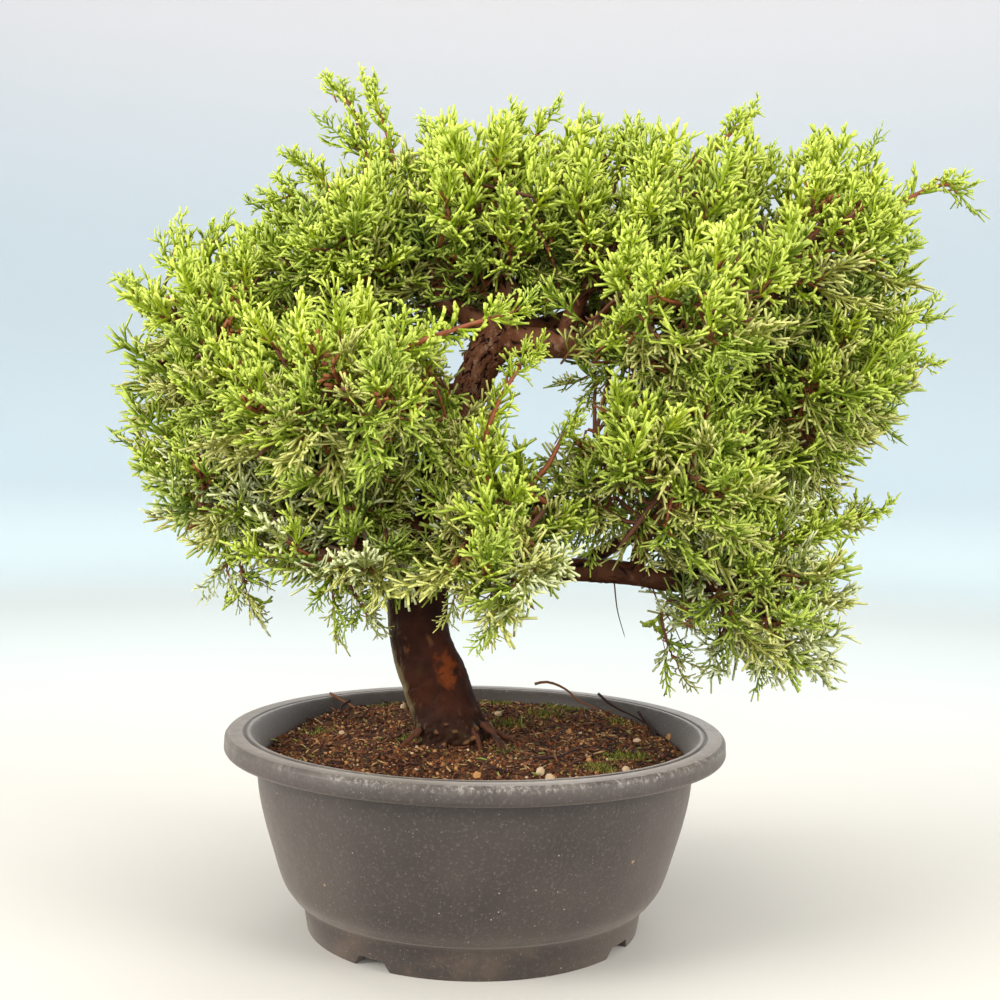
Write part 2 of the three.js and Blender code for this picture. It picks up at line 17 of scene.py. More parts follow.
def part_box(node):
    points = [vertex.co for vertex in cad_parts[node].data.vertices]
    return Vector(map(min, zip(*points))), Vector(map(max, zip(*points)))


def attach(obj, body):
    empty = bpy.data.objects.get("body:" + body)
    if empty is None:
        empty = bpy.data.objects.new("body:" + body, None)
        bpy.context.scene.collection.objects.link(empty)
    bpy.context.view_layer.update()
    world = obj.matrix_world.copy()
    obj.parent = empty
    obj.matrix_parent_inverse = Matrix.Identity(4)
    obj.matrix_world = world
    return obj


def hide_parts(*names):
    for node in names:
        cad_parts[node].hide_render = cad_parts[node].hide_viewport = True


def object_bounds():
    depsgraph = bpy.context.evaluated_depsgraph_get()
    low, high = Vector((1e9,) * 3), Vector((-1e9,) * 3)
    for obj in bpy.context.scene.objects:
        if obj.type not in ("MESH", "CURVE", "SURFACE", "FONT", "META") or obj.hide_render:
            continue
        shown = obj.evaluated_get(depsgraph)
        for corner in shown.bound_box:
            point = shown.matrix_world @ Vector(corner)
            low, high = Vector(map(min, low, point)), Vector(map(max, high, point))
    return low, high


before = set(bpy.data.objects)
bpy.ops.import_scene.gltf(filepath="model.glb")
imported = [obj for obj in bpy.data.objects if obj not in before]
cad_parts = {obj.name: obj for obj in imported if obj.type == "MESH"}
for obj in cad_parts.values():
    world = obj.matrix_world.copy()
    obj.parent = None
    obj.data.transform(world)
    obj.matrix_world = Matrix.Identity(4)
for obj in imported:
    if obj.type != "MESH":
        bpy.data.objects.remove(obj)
solid_low, solid_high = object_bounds()
pot_low, pot_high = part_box("pot")
pot_middle = (pot_low + pot_high) / 2
print("nodes", len(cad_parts), "pot axis", round(pot_middle.x, 4), round(pot_middle.y, 4))

# %% [markdown]
# ## Working round the pot's axis
#
# The tree grew from the middle of its pot, so all its points are simplest when they are counted in
# millimetres from the pot's axis, with the ground at zero. One matrix carries finished shapes from
# there into the frame, in metres. It is applied to the mesh and not to the object, so each object
# stays at the origin and a pattern on its coordinates stays still.

# %% From millimetres round the axis into the frame
to_frame = Matrix.Translation((pot_middle.x, pot_middle.y, 0)) @ Matrix.Scale(0.001, 4)
axis_place = np.array([pot_middle.x, pot_middle.y, 0.0])
up = np.array([0.0, 0.0, 1.0])


def in_frame(points):
    return np.asarray(points) * 0.001 + axis_place


def unit(vector):
    vector = np.asarray(vector, float)
    return vector / np.maximum(np.linalg.norm(vector, axis=-1, keepdims=True), 1e-9)


def seeded_numbers(seed):
    """A repeatable run of numbers from 0 to 1, by the rule that the solids were grown with."""
    state = seed

    def draw():
        nonlocal state
        state = (state * 1664525 + 1013904223) % 4294967296
        return state / 4294967296
    return draw


def mesh_of(shape, name):
    """Carries a bmesh into the frame and makes a smooth mesh of it."""
    bmesh.ops.transform(shape, matrix=to_frame, verts=shape.verts)
    mesh = bpy.data.meshes.new(name)
    shape.to_mesh(mesh)
    shape.free()
    mesh.polygons.foreach_set("use_smooth", [True] * len(mesh.polygons))
    return mesh


def finished(name, mesh, materials, replaced=()):
    """Puts a mesh into the scene as a piece of the plant."""
    piece = bpy.data.objects.new(name, mesh)
    bpy.context.scene.collection.objects.link(piece)
    for material in materials:
        mesh.materials.append(material)
    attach(piece, "root")
    if replaced:
        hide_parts(*replaced)
    triangles = sum(len(face.vertices) - 2 for face in mesh.polygons)
    print(name, "triangles", triangles)
    return piece


# %% [markdown]
# ## The camera
#
# The photograph was taken from just above the rim, looking down by two degrees, with the camera
# turned a touch about its own line of sight. The pot's rim is a known circle, so its two widths in
# the picture gave the distance and the height. A lens of 49 mm then shows the plant as large as it is.

# %% Place the camera
camera_place = (7.1, -496.4, 170.9)
look_down = 0.035
camera_roll = 0.0201
camera_data = bpy.data.cameras.new("camera")
camera_data.lens = 49.4
camera_data.sensor_width = 36
camera_data.clip_start = 0.01
camera = bpy.data.objects.new("camera", camera_data)
turn_up = Matrix.Rotation(math.pi / 2 - look_down, 4, "X") @ Matrix.Rotation(camera_roll, 4, "Z")
camera.matrix_world = Matrix.Translation(in_frame(camera_place)) @ turn_up
bpy.context.scene.collection.objects.link(camera)
bpy.context.scene.camera = camera
print("camera at", [round(value, 3) for value in camera.location])

# %% [markdown]
# ## The materials' plain helpers
#
# Colours are written as they look on a screen and turned into the linear values that the shader
# works with. Patterns read Object coordinates through a Mapping node that centres them on the pot's
# axis, so that distance from the axis and height above the ground can both drive a finish. Inside a
# material both are in metres.

# %% Small helpers for materials
def colour(code, alpha=1.0):
    parts = [int(code[i:i + 2], 16) / 255 for i in (0, 2, 4)]
    return [((p + 0.055) / 1.055) ** 2.4 if p > 0.04045 else p / 12.92 for p in parts] + [alpha]


def plain_finish(name, code, roughness, gloss):
    material = bpy.data.materials.new(name)
    material.use_nodes = True
    shader = material.node_tree.nodes["Principled BSDF"]
    shader.inputs["Base Color"].default_value = colour(code)
    shader.inputs["Roughness"].default_value = roughness
    shader.inputs["Specular IOR Level"].default_value = gloss
    material.diffuse_color = colour(code)
    return material


def finishes(prefix, codes, roughness, gloss):
    """Plain finishes for a table of colours."""
    return [plain_finish(prefix + name, code, roughness, gloss) for name, code in codes.items()]


class Recipe:
    """A material whose nodes are added and joined one after another."""

    def __init__(self, name, roughness=0.5, gloss=0.5):
        self.material = plain_finish(name, "808080", roughness, gloss)
        self.tree = self.material.node_tree
        self.shader = self.tree.nodes["Principled BSDF"]
        place = self.tree.nodes.new("ShaderNodeTexCoord")
        centred = self.tree.nodes.new("ShaderNodeMapping")
        centred.inputs["Location"].default_value = (-pot_middle.x, -pot_middle.y, 0)
        self.tree.links.new(place.outputs["Object"], centred.inputs["Vector"])
        self.place = centred.outputs["Vector"]

    def add(self, kind, values=(), **settings):
        made = self.tree.nodes.new("ShaderNode" + kind)
        for key, value in settings.items():
            setattr(made, key, value)
        for key, value in dict(values).items():
            if isinstance(value, bpy.types.NodeSocket):
                self.tree.links.new(value, made.inputs[key])
            else:
                made.inputs[key].default_value = value
        return made

    def height_and_radius(self):
        """Height above the ground and distance from the pot's axis, in metres."""
        spot = self.add("SeparateXYZ", {"Vector": self.place})
        flat = self.add("CombineXYZ", {"X": spot.outputs["X"], "Y": spot.outputs["Y"]}).outputs["Vector"]
        return spot.outputs["Z"], self.add("VectorMath", {0: flat}, operation="LENGTH").outputs["Value"]

    def upright(self, squeeze):
        """Places for a noise whose patches are stretched up and down."""
        return self.add("Mapping", {"Vector": self.place, "Scale": (1, 1, squeeze)}).outputs["Vector"]

    def mottle(self, scale, detail=4.0, where=None, rough=0.55):
        place = self.place if where is None else where
        values = {"Vector": place, "Scale": scale, "Detail": detail, "Roughness": rough}
        return self.add("TexNoise", values).outputs["Fac"]

    def between(self, value, low, high):
        """0 at low, 1 at high and a smooth step between them, whichever of the two is larger."""
        values = {"Value": value, "From Min": low, "From Max": high}
        step = self.add("MapRange", values, interpolation_type="SMOOTHSTEP")
        return step.outputs["Result"]

    def patches(self, scale, detail, low, high, where=None, rough=0.55):
        """Patches of a noise: 1 where it is above high, 0 where it is below low."""
        return self.between(self.mottle(scale, detail, where, rough), low, high)

    def product(self, result, *others):
        for other in others:
            result = self.add("Math", {0: result, 1: other}, operation="MULTIPLY").outputs["Value"]
        return result

    def tint(self, share, below, above):
        """One colour where the share is 0 and the other where it is 1."""
        mixed = self.add("Mix", {"Factor": share}, data_type="RGBA")
        for key, value in ((6, below), (7, above)):
            if isinstance(value, bpy.types.NodeSocket):
                self.tree.links.new(value, mixed.inputs[key])
            else:
                mixed.inputs[key].default_value = colour(value)
        return mixed.outputs[2]

    def coat(self, base, code, *masks):
        """The base with another colour over it, as strong as the product of the masks."""
        return self.tint(self.product(*masks), base, code)

    def finish(self, base, bump=None, depth=0.0, roughness=None):
        self.tree.links.new(base, self.shader.inputs["Base Color"])
        if roughness is not None:
            self.tree.links.new(roughness, self.shader.inputs["Roughness"])
        if bump is not None:
            raised = self.add("Bump", {"Height": bump, "Distance": depth, "Strength": 1.0})
            self.tree.links.new(raised.outputs["Normal"], self.shader.inputs["Normal"])
        return self.material


print("helpers ready")

# %% [markdown]
# ## The studio
#
# A photographer's sweep is a floor that curls up into its own backdrop, so that no line shows where
# they meet. Here it is a wide round bowl spun from one profile, open at the top, and it looks the
# same from every side. Its finish is plain and pale: warm round the pot, bluer further out and up the
# wall, and greyer at the top.

# %% Spin the sweep
def spun(profile, steps):
    """A bmesh turned round the axis from a chain of radius and height pairs."""
    shape = bmesh.new()
    chain = [shape.verts.new((radius, 0, height)) for radius, height in profile]
    edges = [shape.edges.new(pair) for pair in zip(chain[:-1], chain[1:])]
    bmesh.ops.spin(shape, geom=chain + edges, cent=(0, 0, 0), axis=(0, 0, 1), angle=math.tau,
                   steps=steps, use_merge=True, use_duplicate=False)
    bmesh.ops.remove_doubles(shape, verts=shape.verts, dist=1e-4)
    bmesh.ops.recalc_face_normals(shape, faces=shape.faces)
    return shape


def sweep_profile():
    floor_radius, bend, wall_top = 1500.0, 900.0, 2600.0
    points = [(0.0, 0.0), (400.0, 0.0), (900.0, 0.0), (floor_radius, 0.0)]
    for step in range(1, 13):
        angle = step / 12 * math.pi / 2
        points.append((floor_radius + bend * math.sin(angle), bend * (1 - math.cos(angle))))
    return points + [(floor_radius + bend, wall_top)]


sweep_shape = spun(sweep_profile(), 96)
inside_sweep = Vector((0, 0, 1200))
for face in sweep_shape.faces:
    if face.normal.dot(inside_sweep - face.calc_center_median()) < 0:
        face.normal_flip()
sweep = bpy.data.objects.new("sweep", mesh_of(sweep_shape, "sweep"))
bpy.context.scene.collection.objects.link(sweep)
paper = Recipe("sweep_paper", roughness=0.9, gloss=0.1)
height, reach = paper.height_and_radius()
near_floor = paper.tint(paper.between(reach, 0.15, 0.80), "bbb8b2", "bac1c0")
floor_colour = paper.tint(paper.between(reach, 1.0, 1.6), near_floor, "d2e1e5")
bend_colour = paper.tint(paper.between(height, 0.0, 0.12), floor_colour, "becdd5")
wall_colour = paper.tint(paper.between(height, 0.10, 0.45), bend_colour, "b8c4cc")
top_colour = paper.tint(paper.between(height, 0.45, 1.3), wall_colour, "d6d1d3")
sweep.data.materials.append(paper.finish(top_colour))
print("sweep faces", len(sweep.data.polygons))

# %% [markdown]
# ## The light
#
# The photograph is lit softly from above and from the front, so the shadows are pale and the tips
# of the foliage are the brightest things in it. Large area lights give that: one overhead, one on
# each side of the camera, a fill from in front, and a weak one from behind for the crown's edge. They
# spread less than a bare lamp does, so that no edge of their light shows on the sweep beside them.

# %% Hang the lights
lamp_spread = math.radians(130)
sky_strength = 1.15
lights = {
    "overhead": ((0, -150, 1350), (0, 0, 150), 900, 4.7, "fffdf8"),
    "front_left": ((-1900, -860, 840), (0, 0, 140), 1200, 38.0, "fffcf5"),
    "front_right": ((1850, -1060, 760), (0, 0, 140), 1100, 29.5, "fffcf5"),
    "fill": ((-300, -2000, 460), (0, 0, 140), 1400, 19.0, "fffcf6"),
    "behind": ((200, 1200, 900), (0, 0, 180), 800, 3.2, "fafcff"),
}
for name, (place, target, size, power, code) in lights.items():
    lamp = bpy.data.lights.new(name, "AREA")
    lamp.size = size * 0.001
    lamp.spread = lamp_spread
    lamp.energy = power
    lamp.color = colour(code)[:3]
    holder = bpy.data.objects.new(name, lamp)
    bpy.context.scene.collection.objects.link(holder)
    facing = Vector(in_frame(target)) - Vector(in_frame(place))
    turned = facing.to_track_quat("-Z", "Y").to_matrix().to_4x4()
    holder.matrix_world = Matrix.Translation(in_frame(place)) @ turned
sky = bpy.data.worlds.new("soft_sky")
sky.use_nodes = True
sky.node_tree.nodes["Background"].inputs["Color"].default_value = colour("f8f8f6")
sky.node_tree.nodes["Background"].inputs["Strength"].default_value = sky_strength
bpy.context.scene.world = sky
bpy.context.scene.view_settings.view_transform = "Standard"
print("lights", len(lights))

# %% [markdown]
# ## The pot
#
# The pot is blow-moulded from dark plastic: a bowl on a narrow foot, with a wide flat rim whose
# edge turns down. A turned thing is drawn once, as half of its cross-section, and spun. The corners
# get small bevels, because no moulded corner is sharp, and they catch the light as on the real rim.

# %% Draw the pot's section
rim_radius, pot_height = 90.0, 70.7
band_height, band_thickness, flange_thickness = 6.4, 2.4, 3.1
lip_radius, groove_radius, wall = 80.3, 82.8, 2.4
foot_radius, foot_wall = 59.8, 4.4
base_underside, base_top = 5.0, 8.0
wall_lift, groove_half, groove_depth = 0.6, 0.6, 0.6
foot_fillet = [(61.3, 8.4), (61.6, 10.2), (62.5, 11.6), (63.8, 12.5)]
body_side = [(65.2, 13.0), (69, 18.8), (72.6, 30), (76, 42), (78, 53), (78.8, 67.6)]


def smooth_chain(points, pieces):
    """A finer chain through the same points, so that the bowl's side is one fair curve."""
    points = np.array(points, float)
    knots = np.arange(len(points))
    slopes = np.gradient(points, axis=0)
    chain = []
    for i in knots[:-1]:
        for t in np.linspace(0, 1, pieces, endpoint=False):
            h = (2 * t**3 - 3 * t**2 + 1, t**3 - 2 * t**2 + t, 3 * t**2 - 2 * t**3, t**3 - t**2)
            chain.append(h[0] * points[i] + h[1] * slopes[i] + h[2] * points[i + 1] + h[3] * slopes[i + 1])
    return [tuple(point) for point in chain] + [tuple(points[-1])]


inside_of_band = rim_radius - band_thickness
outside = smooth_chain(body_side, 5)
inside = [(radius - wall, height + wall_lift) for radius, height in reversed(outside[5:-4])]
pot_section = [
    (0, base_underside),
    (foot_radius - foot_wall, base_underside),
    (foot_radius - foot_wall, 0),
    (foot_radius, 0),
    *foot_fillet,
    *outside,
    (inside_of_band - 0.4, pot_height - flange_thickness),
    (inside_of_band, pot_height - band_height),
    (rim_radius - 0.6, pot_height - band_height),
    (rim_radius, pot_height - band_height + 1.0),
    (rim_radius - 0.2, pot_height - 1.3),
    (rim_radius - 1.3, pot_height),
    (groove_radius + groove_half, pot_height),
    (groove_radius + 0.5 * groove_half, pot_height - groove_depth),
    (groove_radius - 0.5 * groove_half, pot_height - groove_depth),
    (groove_radius - groove_half, pot_height),
    (lip_radius + 0.6, pot_height),
    (lip_radius, pot_height - 0.6),
    (lip_radius - 2.6, pot_height - 3.8),
    *inside,
    (foot_radius, base_top + 2.4),
    (foot_radius - 5, base_top),
    (0, base_top),
]
print("pot section points", len(pot_section))

# %% Spin the pot and soften its corners
pot_steps, corner_angle, corner_softness = 144, math.radians(32), 0.28
pot_shape = spun(pot_section, pot_steps)
corners = [edge for edge in pot_shape.edges
           if len(edge.link_faces) == 2 and edge.calc_face_angle() > corner_angle]
bmesh.ops.bevel(pot_shape, geom=corners, offset=corner_softness, offset_type="OFFSET", segments=2,
                profile=0.5, affect="EDGES", material=-1, clamp_overlap=True)
print("corners softened", len(corners), "faces", len(pot_shape.faces))

# %% [markdown]
# ## Notches and drain holes
#
# Water leaves by holes in the base and gets out from under the pot by four notches in its foot.
# They are cut with a Boolean modifier, as a mould's inserts would make them, and the result is kept.

# %% Cut the foot's notches and the drain holes
notch_turn, notch_height, notch_foot, notch_head = math.radians(-122.5), 3.6, 16.0, 10.0
drain_radius, small_drain_radius, drain_circle = 8.0, 4.5, 32.0
cutters = bmesh.new()
for step in range(4):
    made = bmesh.ops.create_cube(cutters, size=1)["verts"]
    for vert in made:
        width = notch_foot if vert.co.z < 0 else notch_head
        vert.co = (vert.co.x * 18, vert.co.y * width, notch_height if vert.co.z > 0 else -1)
    spot = Matrix.Rotation(notch_turn + step * math.pi / 2, 4, "Z") @ Matrix.Translation((58, 0, 0))
    bmesh.ops.transform(cutters, matrix=spot, verts=made)
holes = [(0.0, 0.0, drain_radius)]
for i in range(6):
    turn = i * math.pi / 3
    holes.append((drain_circle * math.cos(turn), drain_circle * math.sin(turn), small_drain_radius))
for x, y, radius in holes:
    spot = Matrix.Translation((x, y, (base_underside + base_top) / 2))
    bmesh.ops.create_cone(cutters, cap_ends=True, segments=32, radius1=radius, radius2=radius, depth=9,
                          matrix=spot)


def object_from(shape, name):
    bmesh.ops.recalc_face_normals(shape, faces=shape.faces)
    made = bpy.data.objects.new(name, mesh_of(shape, name))
    bpy.context.scene.collection.objects.link(made)
    return made


uncut = object_from(pot_shape, "pot_uncut")
inserts = object_from(cutters, "pot_inserts")
cut = uncut.modifiers.new("cut", "BOOLEAN")
cut.operation = "DIFFERENCE"
cut.solver = "EXACT"
cut.object = inserts
pot_mesh = bpy.data.meshes.new_from_object(uncut.evaluated_get(bpy.context.evaluated_depsgraph_get()))
pot_mesh.name = "training_pot"
bpy.data.objects.remove(uncut)
bpy.data.objects.remove(inserts)
pot_mesh.polygons.foreach_set("use_smooth", [True] * len(pot_mesh.polygons))
pot_mesh.set_sharp_from_angle(angle=math.radians(38))
print("pot faces", len(pot_mesh.polygons))

# %% [markdown]
# ## The pot's plastic
#
# The plastic is a matt, warm dark grey. Years on the bench show on it: the rim's shoulder is rubbed
# pale, hard water has left fine specks, and splashed soil has dried brown near the foot. Each of
# these is a mask made of where it lies (height, distance from the axis) times a noise of its own grain.
# A film of dust over all of it brightens the sides that turn away, which the sheen gives.

# %% Mix the pot's plastic
plastic = Recipe("pot_plastic", roughness=0.55, gloss=0.4)
height, radius = plastic.height_and_radius()
base = plastic.tint(plastic.patches(28, 5, 0.3, 0.72), "251e1c", "352d2a")
base = plastic.coat(base, "4d4642", plastic.patches(900, 3, 0.52, 0.75, rough=0.7))
low_down = plastic.between(height, 0.06, 0.0)
base = plastic.coat(base, "5c534b", plastic.patches(14, 4, 0.40, 0.72), low_down, 0.05)
# The whole rim is painted paler: partly dust, and partly painted light falling on its top.
rim_dust_and_light = plastic.product(plastic.between(height, 0.0650, 0.0704), plastic.between(radius, 0.0795, 0.0805))
base = plastic.coat(base, "605b53", rim_dust_and_light, plastic.patches(90, 5, 0.30, 0.75), 0.55)
# Painted shade: the inner wall above the soil is darker, as shade inside the pot.
inner_wall_shade = plastic.between(height, 0.058, 0.063)
base = plastic.coat(base, "3a3431", inner_wall_shade, plastic.between(radius, 0.0802, 0.0794), 0.6)
streaks = plastic.patches(620, 5, 0.46, 0.66, where=plastic.upright(0.6), rough=0.75)
shoulder = plastic.product(plastic.between(height, 0.0676, 0.0702), plastic.between(radius, 0.0872, 0.0888))
base = plastic.coat(base, "98928b", shoulder, plastic.patches(38, 3, 0.34, 0.60), streaks, 0.7)
splashes = plastic.patches(60, 6, 0.44, 0.75, rough=0.65)
base = plastic.coat(base, "5c4a3a", plastic.between(height, 0.024, 0.002), splashes, 0.5)
# Cells to the metre, the speck's share of its cell, the chance above which a cell has one, its
# colour and its strength
specks = [
    (900, 0.22, 0.88, "8c8279", 0.6),
    (430, 0.13, 0.93, "ada394", 0.85),
    (170, 0.13, 0.955, "9a7a4c", 0.8),
]
for scale, size, least, code, strength in specks:
    cells = plastic.add("TexVoronoi", {"Vector": plastic.place, "Scale": scale}, feature="F1")
    dots = plastic.between(cells.outputs["Distance"], size, 0.5 * size)
    chance = plastic.add("SeparateColor", {"Color": cells.outputs["Color"]}).outputs["Red"]
    base = plastic.coat(base, code, dots, plastic.between(chance, least, least + 0.01), strength)
roughness = plastic.add("MapRange", {"Value": plastic.mottle(240, 4), "To Min": 0.42, "To Max": 0.62})
plastic.finish(base, bump=plastic.mottle(1500, 3), depth=0.00010, roughness=roughness.outputs["Result"])
plastic.shader.inputs["Sheen Weight"].default_value = 0.2
plastic.shader.inputs["Sheen Tint"].default_value = colour("fff0e2")
finished("training_pot", pot_mesh, [plastic.material], ["pot"])

# %% [markdown]
# ## Lines for the limbs
#
# The trunk and boughs follow smooth lines through a few measured points. The solids used centripetal
# Catmull-Rom splines for this, which pass through every point without loops, so the same spline is
# written here and the bark lands exactly where the solids are.

# %% Smooth lines through measured points
def smooth_line(points, steps=24):
    points = np.array(points, float)
    padded = np.vstack([2 * points[0] - points[1], points, 2 * points[-1] - points[-2]])
    line = []
    for i in range(len(points) - 1):
        a, b, c, d = padded[i:i + 4]
        gaps = [max(np.linalg.norm(q - p) ** 0.5, 1e-4) for p, q in ((a, b), (b, c), (c, d))]
        leave = (b - a) / gaps[0] - (c - a) / (gaps[0] + gaps[1]) + (c - b) / gaps[1]
        arrive = (c - b) / gaps[1] - (d - b) / (gaps[1] + gaps[2]) + (d - c) / gaps[2]
        leave, arrive = leave * gaps[1], arrive * gaps[1]
        t = np.linspace(0, 1, steps, endpoint=False)[:, None]
        line.append((2 * t**3 - 3 * t**2 + 1) * b + (t**3 - 2 * t**2 + t) * leave
                    + (3 * t**2 - 2 * t**3) * c + (t**3 - t**2) * arrive)
    return np.vstack(line + [points[-1:]])


def lengths_along(line):
    return np.concatenate([[0], np.cumsum(np.linalg.norm(np.diff(line, axis=0), axis=1))])


def evenly(line, count):
    """The same line with its points at even distances."""
    along = lengths_along(line)
    wanted = np.linspace(0, along[-1], count)
    return np.stack([np.interp(wanted, along, line[:, k]) for k in range(line.shape[1])], axis=1)


def bent_line(start, leave, end, arrive, count=8, slack=0.36):
    """A line that leaves one way and arrives another, as a twig that was bent by the light."""
    start, end = np.asarray(start, float), np.asarray(end, float)
    reach = np.linalg.norm(end - start) * slack
    first, last = start + unit(leave) * reach, end - unit(arrive) * reach
    t = np.linspace(0, 1, count)[:, None]
    return (1 - t)**3 * start + 3 * (1 - t)**2 * t * first + 3 * (1 - t) * t**2 * last + t**3 * end


print("a line through three points has", len(smooth_line([(0, 0, 0), (1, 0, 1), (2, 0, 0)])), "steps")

# %% [markdown]
# ## The measured tree
#
# These are the same named values that the solids were made from: the trunk's middle line with its
# thickness, the boughs with the thickness at each end, and the masses of foliage with the space that
# each fills and the long shoots that stand out of it.

# %% The trunk, the boughs and the masses
ground_level = 65.6
trunk_points = [
    (-8.6, 6.5, 60, 26), (-9.2, 6.5, 65.6, 25.8), (-11, 7, 74, 26), (-15.2, 7.5, 86, 26),
    (-20.8, 8, 100, 24), (-22.2, 7.5, 117, 24.4), (-20.4, 6.5, 130, 21.5), (-16.6, 5, 143, 17.2),
    (-14.8, 4, 157, 16), (-13.2, 4, 170, 15.5), (-9.6, 5, 183, 15), (-4.6, 6, 193, 14.6),
    (-0.8, 6.5, 203, 14.2), (5, 6.5, 213, 12.6), (8.4, 6, 226, 9), (5.2, 5, 240, 7.4), (1, 3, 251, 5.6),
]
boughs = {
    "upper_right": (12, 7, [(3, 6, 211.5), (26, 3, 210.5), (54, 2, 210), (70, 1, 211.5), (92, 0, 222)]),
    "right_shoulder": (6, 4.6, [(72, 1, 211), (90, 3, 207), (105, 5, 204)]),
    "top_right": (7, 5, [(29, 3, 211), (33, 1, 224), (42, -2, 238)]),
    "front_right": (5.6, 4.4, [(50, 2, 210), (54, -12, 214), (57, -22, 217)]),
    "back_right": (8, 5.4, [(5, 8, 213), (26, 22, 220), (46, 34, 227), (60, 41, 232)]),
    "low_right": (10.5, 7.4, [(-18, 6, 136), (0, 3, 131), (26, -1, 129), (48, -5, 129), (66, -8, 126.5),
                              (80, -10, 126)]),
    "right_front": (6, 4.6, [(56, -7, 128), (58, -13, 141), (63, -21, 151)]),
    "back_low_right": (6, 4.4, [(34, -2, 129), (56, 18, 140), (76, 32, 151)]),
    "top_left": (8.5, 5.4, [(5, 7, 214), (-14, 8, 225), (-33, 7, 238)]),
    "back_top": (6, 4.6, [(7, 6, 229), (5, 20, 238), (1, 33, 247)]),
    "left_front": (7.5, 5, [(-12, 4, 171), (-24, -13, 177), (-34, -28, 182)]),
    "left_outer": (7.5, 4.8, [(-9, 5, 184), (-36, 2, 192), (-64, -2, 198), (-86, -4, 201)]),
    "back_left": (7, 5, [(-6, 7, 191), (-28, 26, 197), (-54, 43, 203)]),
    "left_low_outer": (12, 4.6, [(-16, 5, 139), (-29, 2, 143), (-50, -5, 149), (-78, -10, 156)]),
    "low_left": (7, 4, [(-22, 5, 128), (-34, -5, 127.5), (-45, -12, 131)]),
    "back_low_left": (6.5, 4.6, [(-19, 8, 135), (-30, 20, 141), (-41, 31, 147)]),
    "centre_front": (6.5, 4.6, [(-15, 3, 151), (-5, -16, 147), (2, -30, 143)]),
}
masses = [
    ("crown_top_left", "top_left", (-55, 5, 254), (44, 57, 42),
     [(-88, 5, 259), (-78, 0, 277), (-62, 5, 311), (-45.5, 3, 309.5)]),
    ("crown_top", "trunk", (0, 0, 262), (48, 55, 41), [(-26, 0, 292), (10, 0, 297), (27, -4, 297)]),
    ("crown_top_right", "top_right", (58, -4, 261), (48, 55, 41), [(54, 0, 295), (101, 0, 300)]),
    ("crown_right", "upper_right", (117, 0, 251), (53, 59, 47),
     [(120, 0, 291), (141, 0, 288), (181, 0, 263)]),
    ("right_shoulder", "right_shoulder", (131, 4, 201), (43, 57, 48), [(170, 5, 229), (170, 5, 206)]),
    ("right_front", "right_front", (66, -34, 166), (48, 51, 44), []),
    ("right_low", "low_right", (105, -8, 122), (43, 51, 42),
     [(153, -2, 155), (138, -10, 121), (104, -10, 86), (127, -10, 89), (77, -12, 88)]),
    ("centre_front", "centre_front", (9, -52, 138), (31, 44, 37), [(2, -55, 106), (22, -58, 208)]),
    ("left_front", "left_front", (-50, -52, 190), (55, 55, 42), [(23, -66, 219)]),
    ("left_outer", "left_outer", (-99, -5, 210), (44, 55, 47), [(-137, -5, 232)]),
    ("left_low_outer", "left_low_outer", (-97, -12, 158), (38, 51, 42),
     [(-130, -10, 172), (-87, -15, 113), (-78, -15, 107)]),
    ("left_low", "low_left", (-54, -20, 136), (44, 55, 35), [(-49, -20, 106), (-33, -22, 105)]),
    ("back_left", "back_left", (-80, 56, 211), (52, 53, 51), []),
    ("back_top", "back_top", (-3, 56, 255), (55, 53, 43), []),
    ("back_right", "back_right", (88, 56, 241), (59, 53, 50), []),
    ("back_low_right", "back_low_right", (101, 48, 171), (48, 48, 46), []),
    ("back_low_left", "back_low_left", (-60, 44, 156), (46, 48, 42), []),
    ("front_right", "front_right", (66, -46, 222), (46, 46, 35), []),
]
trunk_line = smooth_line([point[:3] for point in trunk_points])
trunk_along = lengths_along(trunk_line)
trunk_radii = np.interp(np.linspace(0, len(trunk_points) - 1, len(trunk_line)),
                        np.arange(len(trunk_points)), [point[3] / 2 for point in trunk_points])
print("trunk length", round(trunk_along[-1]), "mm, boughs", len(boughs), "masses", len(masses))

# %% [markdown]
# ## A limb is a cylinder carried onto a line
#
# Every round thing on the tree, from the trunk to the finest cord of foliage, is the same shape: a
# cylinder whose rings are carried onto a line, each with its own radius. The cylinder is made once
# with bmesh for each number of sides and rings, and its points are then moved in whole arrays, which
# is what makes a hundred thousand of them quick. A pointed one ends in a single tip.

# %% Cylinders to be carried onto lines
cylinders = {}


def arrays_of(shape):
    """The points and triangles of a bmesh."""
    shape.verts.ensure_lookup_table()
    points = np.array([vert.co for vert in shape.verts])
    triangles = np.array([[vert.index for vert in face.verts] for face in shape.faces])
    shape.free()
    return points, triangles


def cylinder(sides, rings, pointed=False):
    """Ring number, turn, distance off the axis and triangles of a closed cylinder."""
    key = (sides, rings, pointed)
    if key in cylinders:
        return cylinders[key]
    shape = bmesh.new()
    bmesh.ops.create_cone(shape, cap_ends=True, segments=sides, radius1=1, radius2=1, depth=1)
    upright = [edge for edge in shape.edges if abs(edge.verts[0].co.z - edge.verts[1].co.z) > 0.5]
    if rings > 1:
        bmesh.ops.subdivide_edges(shape, edges=upright, cuts=rings - 1)
    if pointed:
        top = [vert for vert in shape.verts if vert.co.z > 0.499]
        bmesh.ops.pointmerge(shape, verts=top, merge_co=(0, 0, 0.5))
    bmesh.ops.triangulate(shape, faces=shape.faces)
    bmesh.ops.recalc_face_normals(shape, faces=shape.faces)
    places, triangles = arrays_of(shape)
    ring = np.rint((places[:, 2] + 0.5) * rings).astype(int)
    off = np.hypot(places[:, 0], places[:, 1])
    cylinders[key] = (ring, np.arctan2(places[:, 1], places[:, 0]), np.where(off > 0.5, 1.0, 0.0), triangles)
    return cylinders[key]


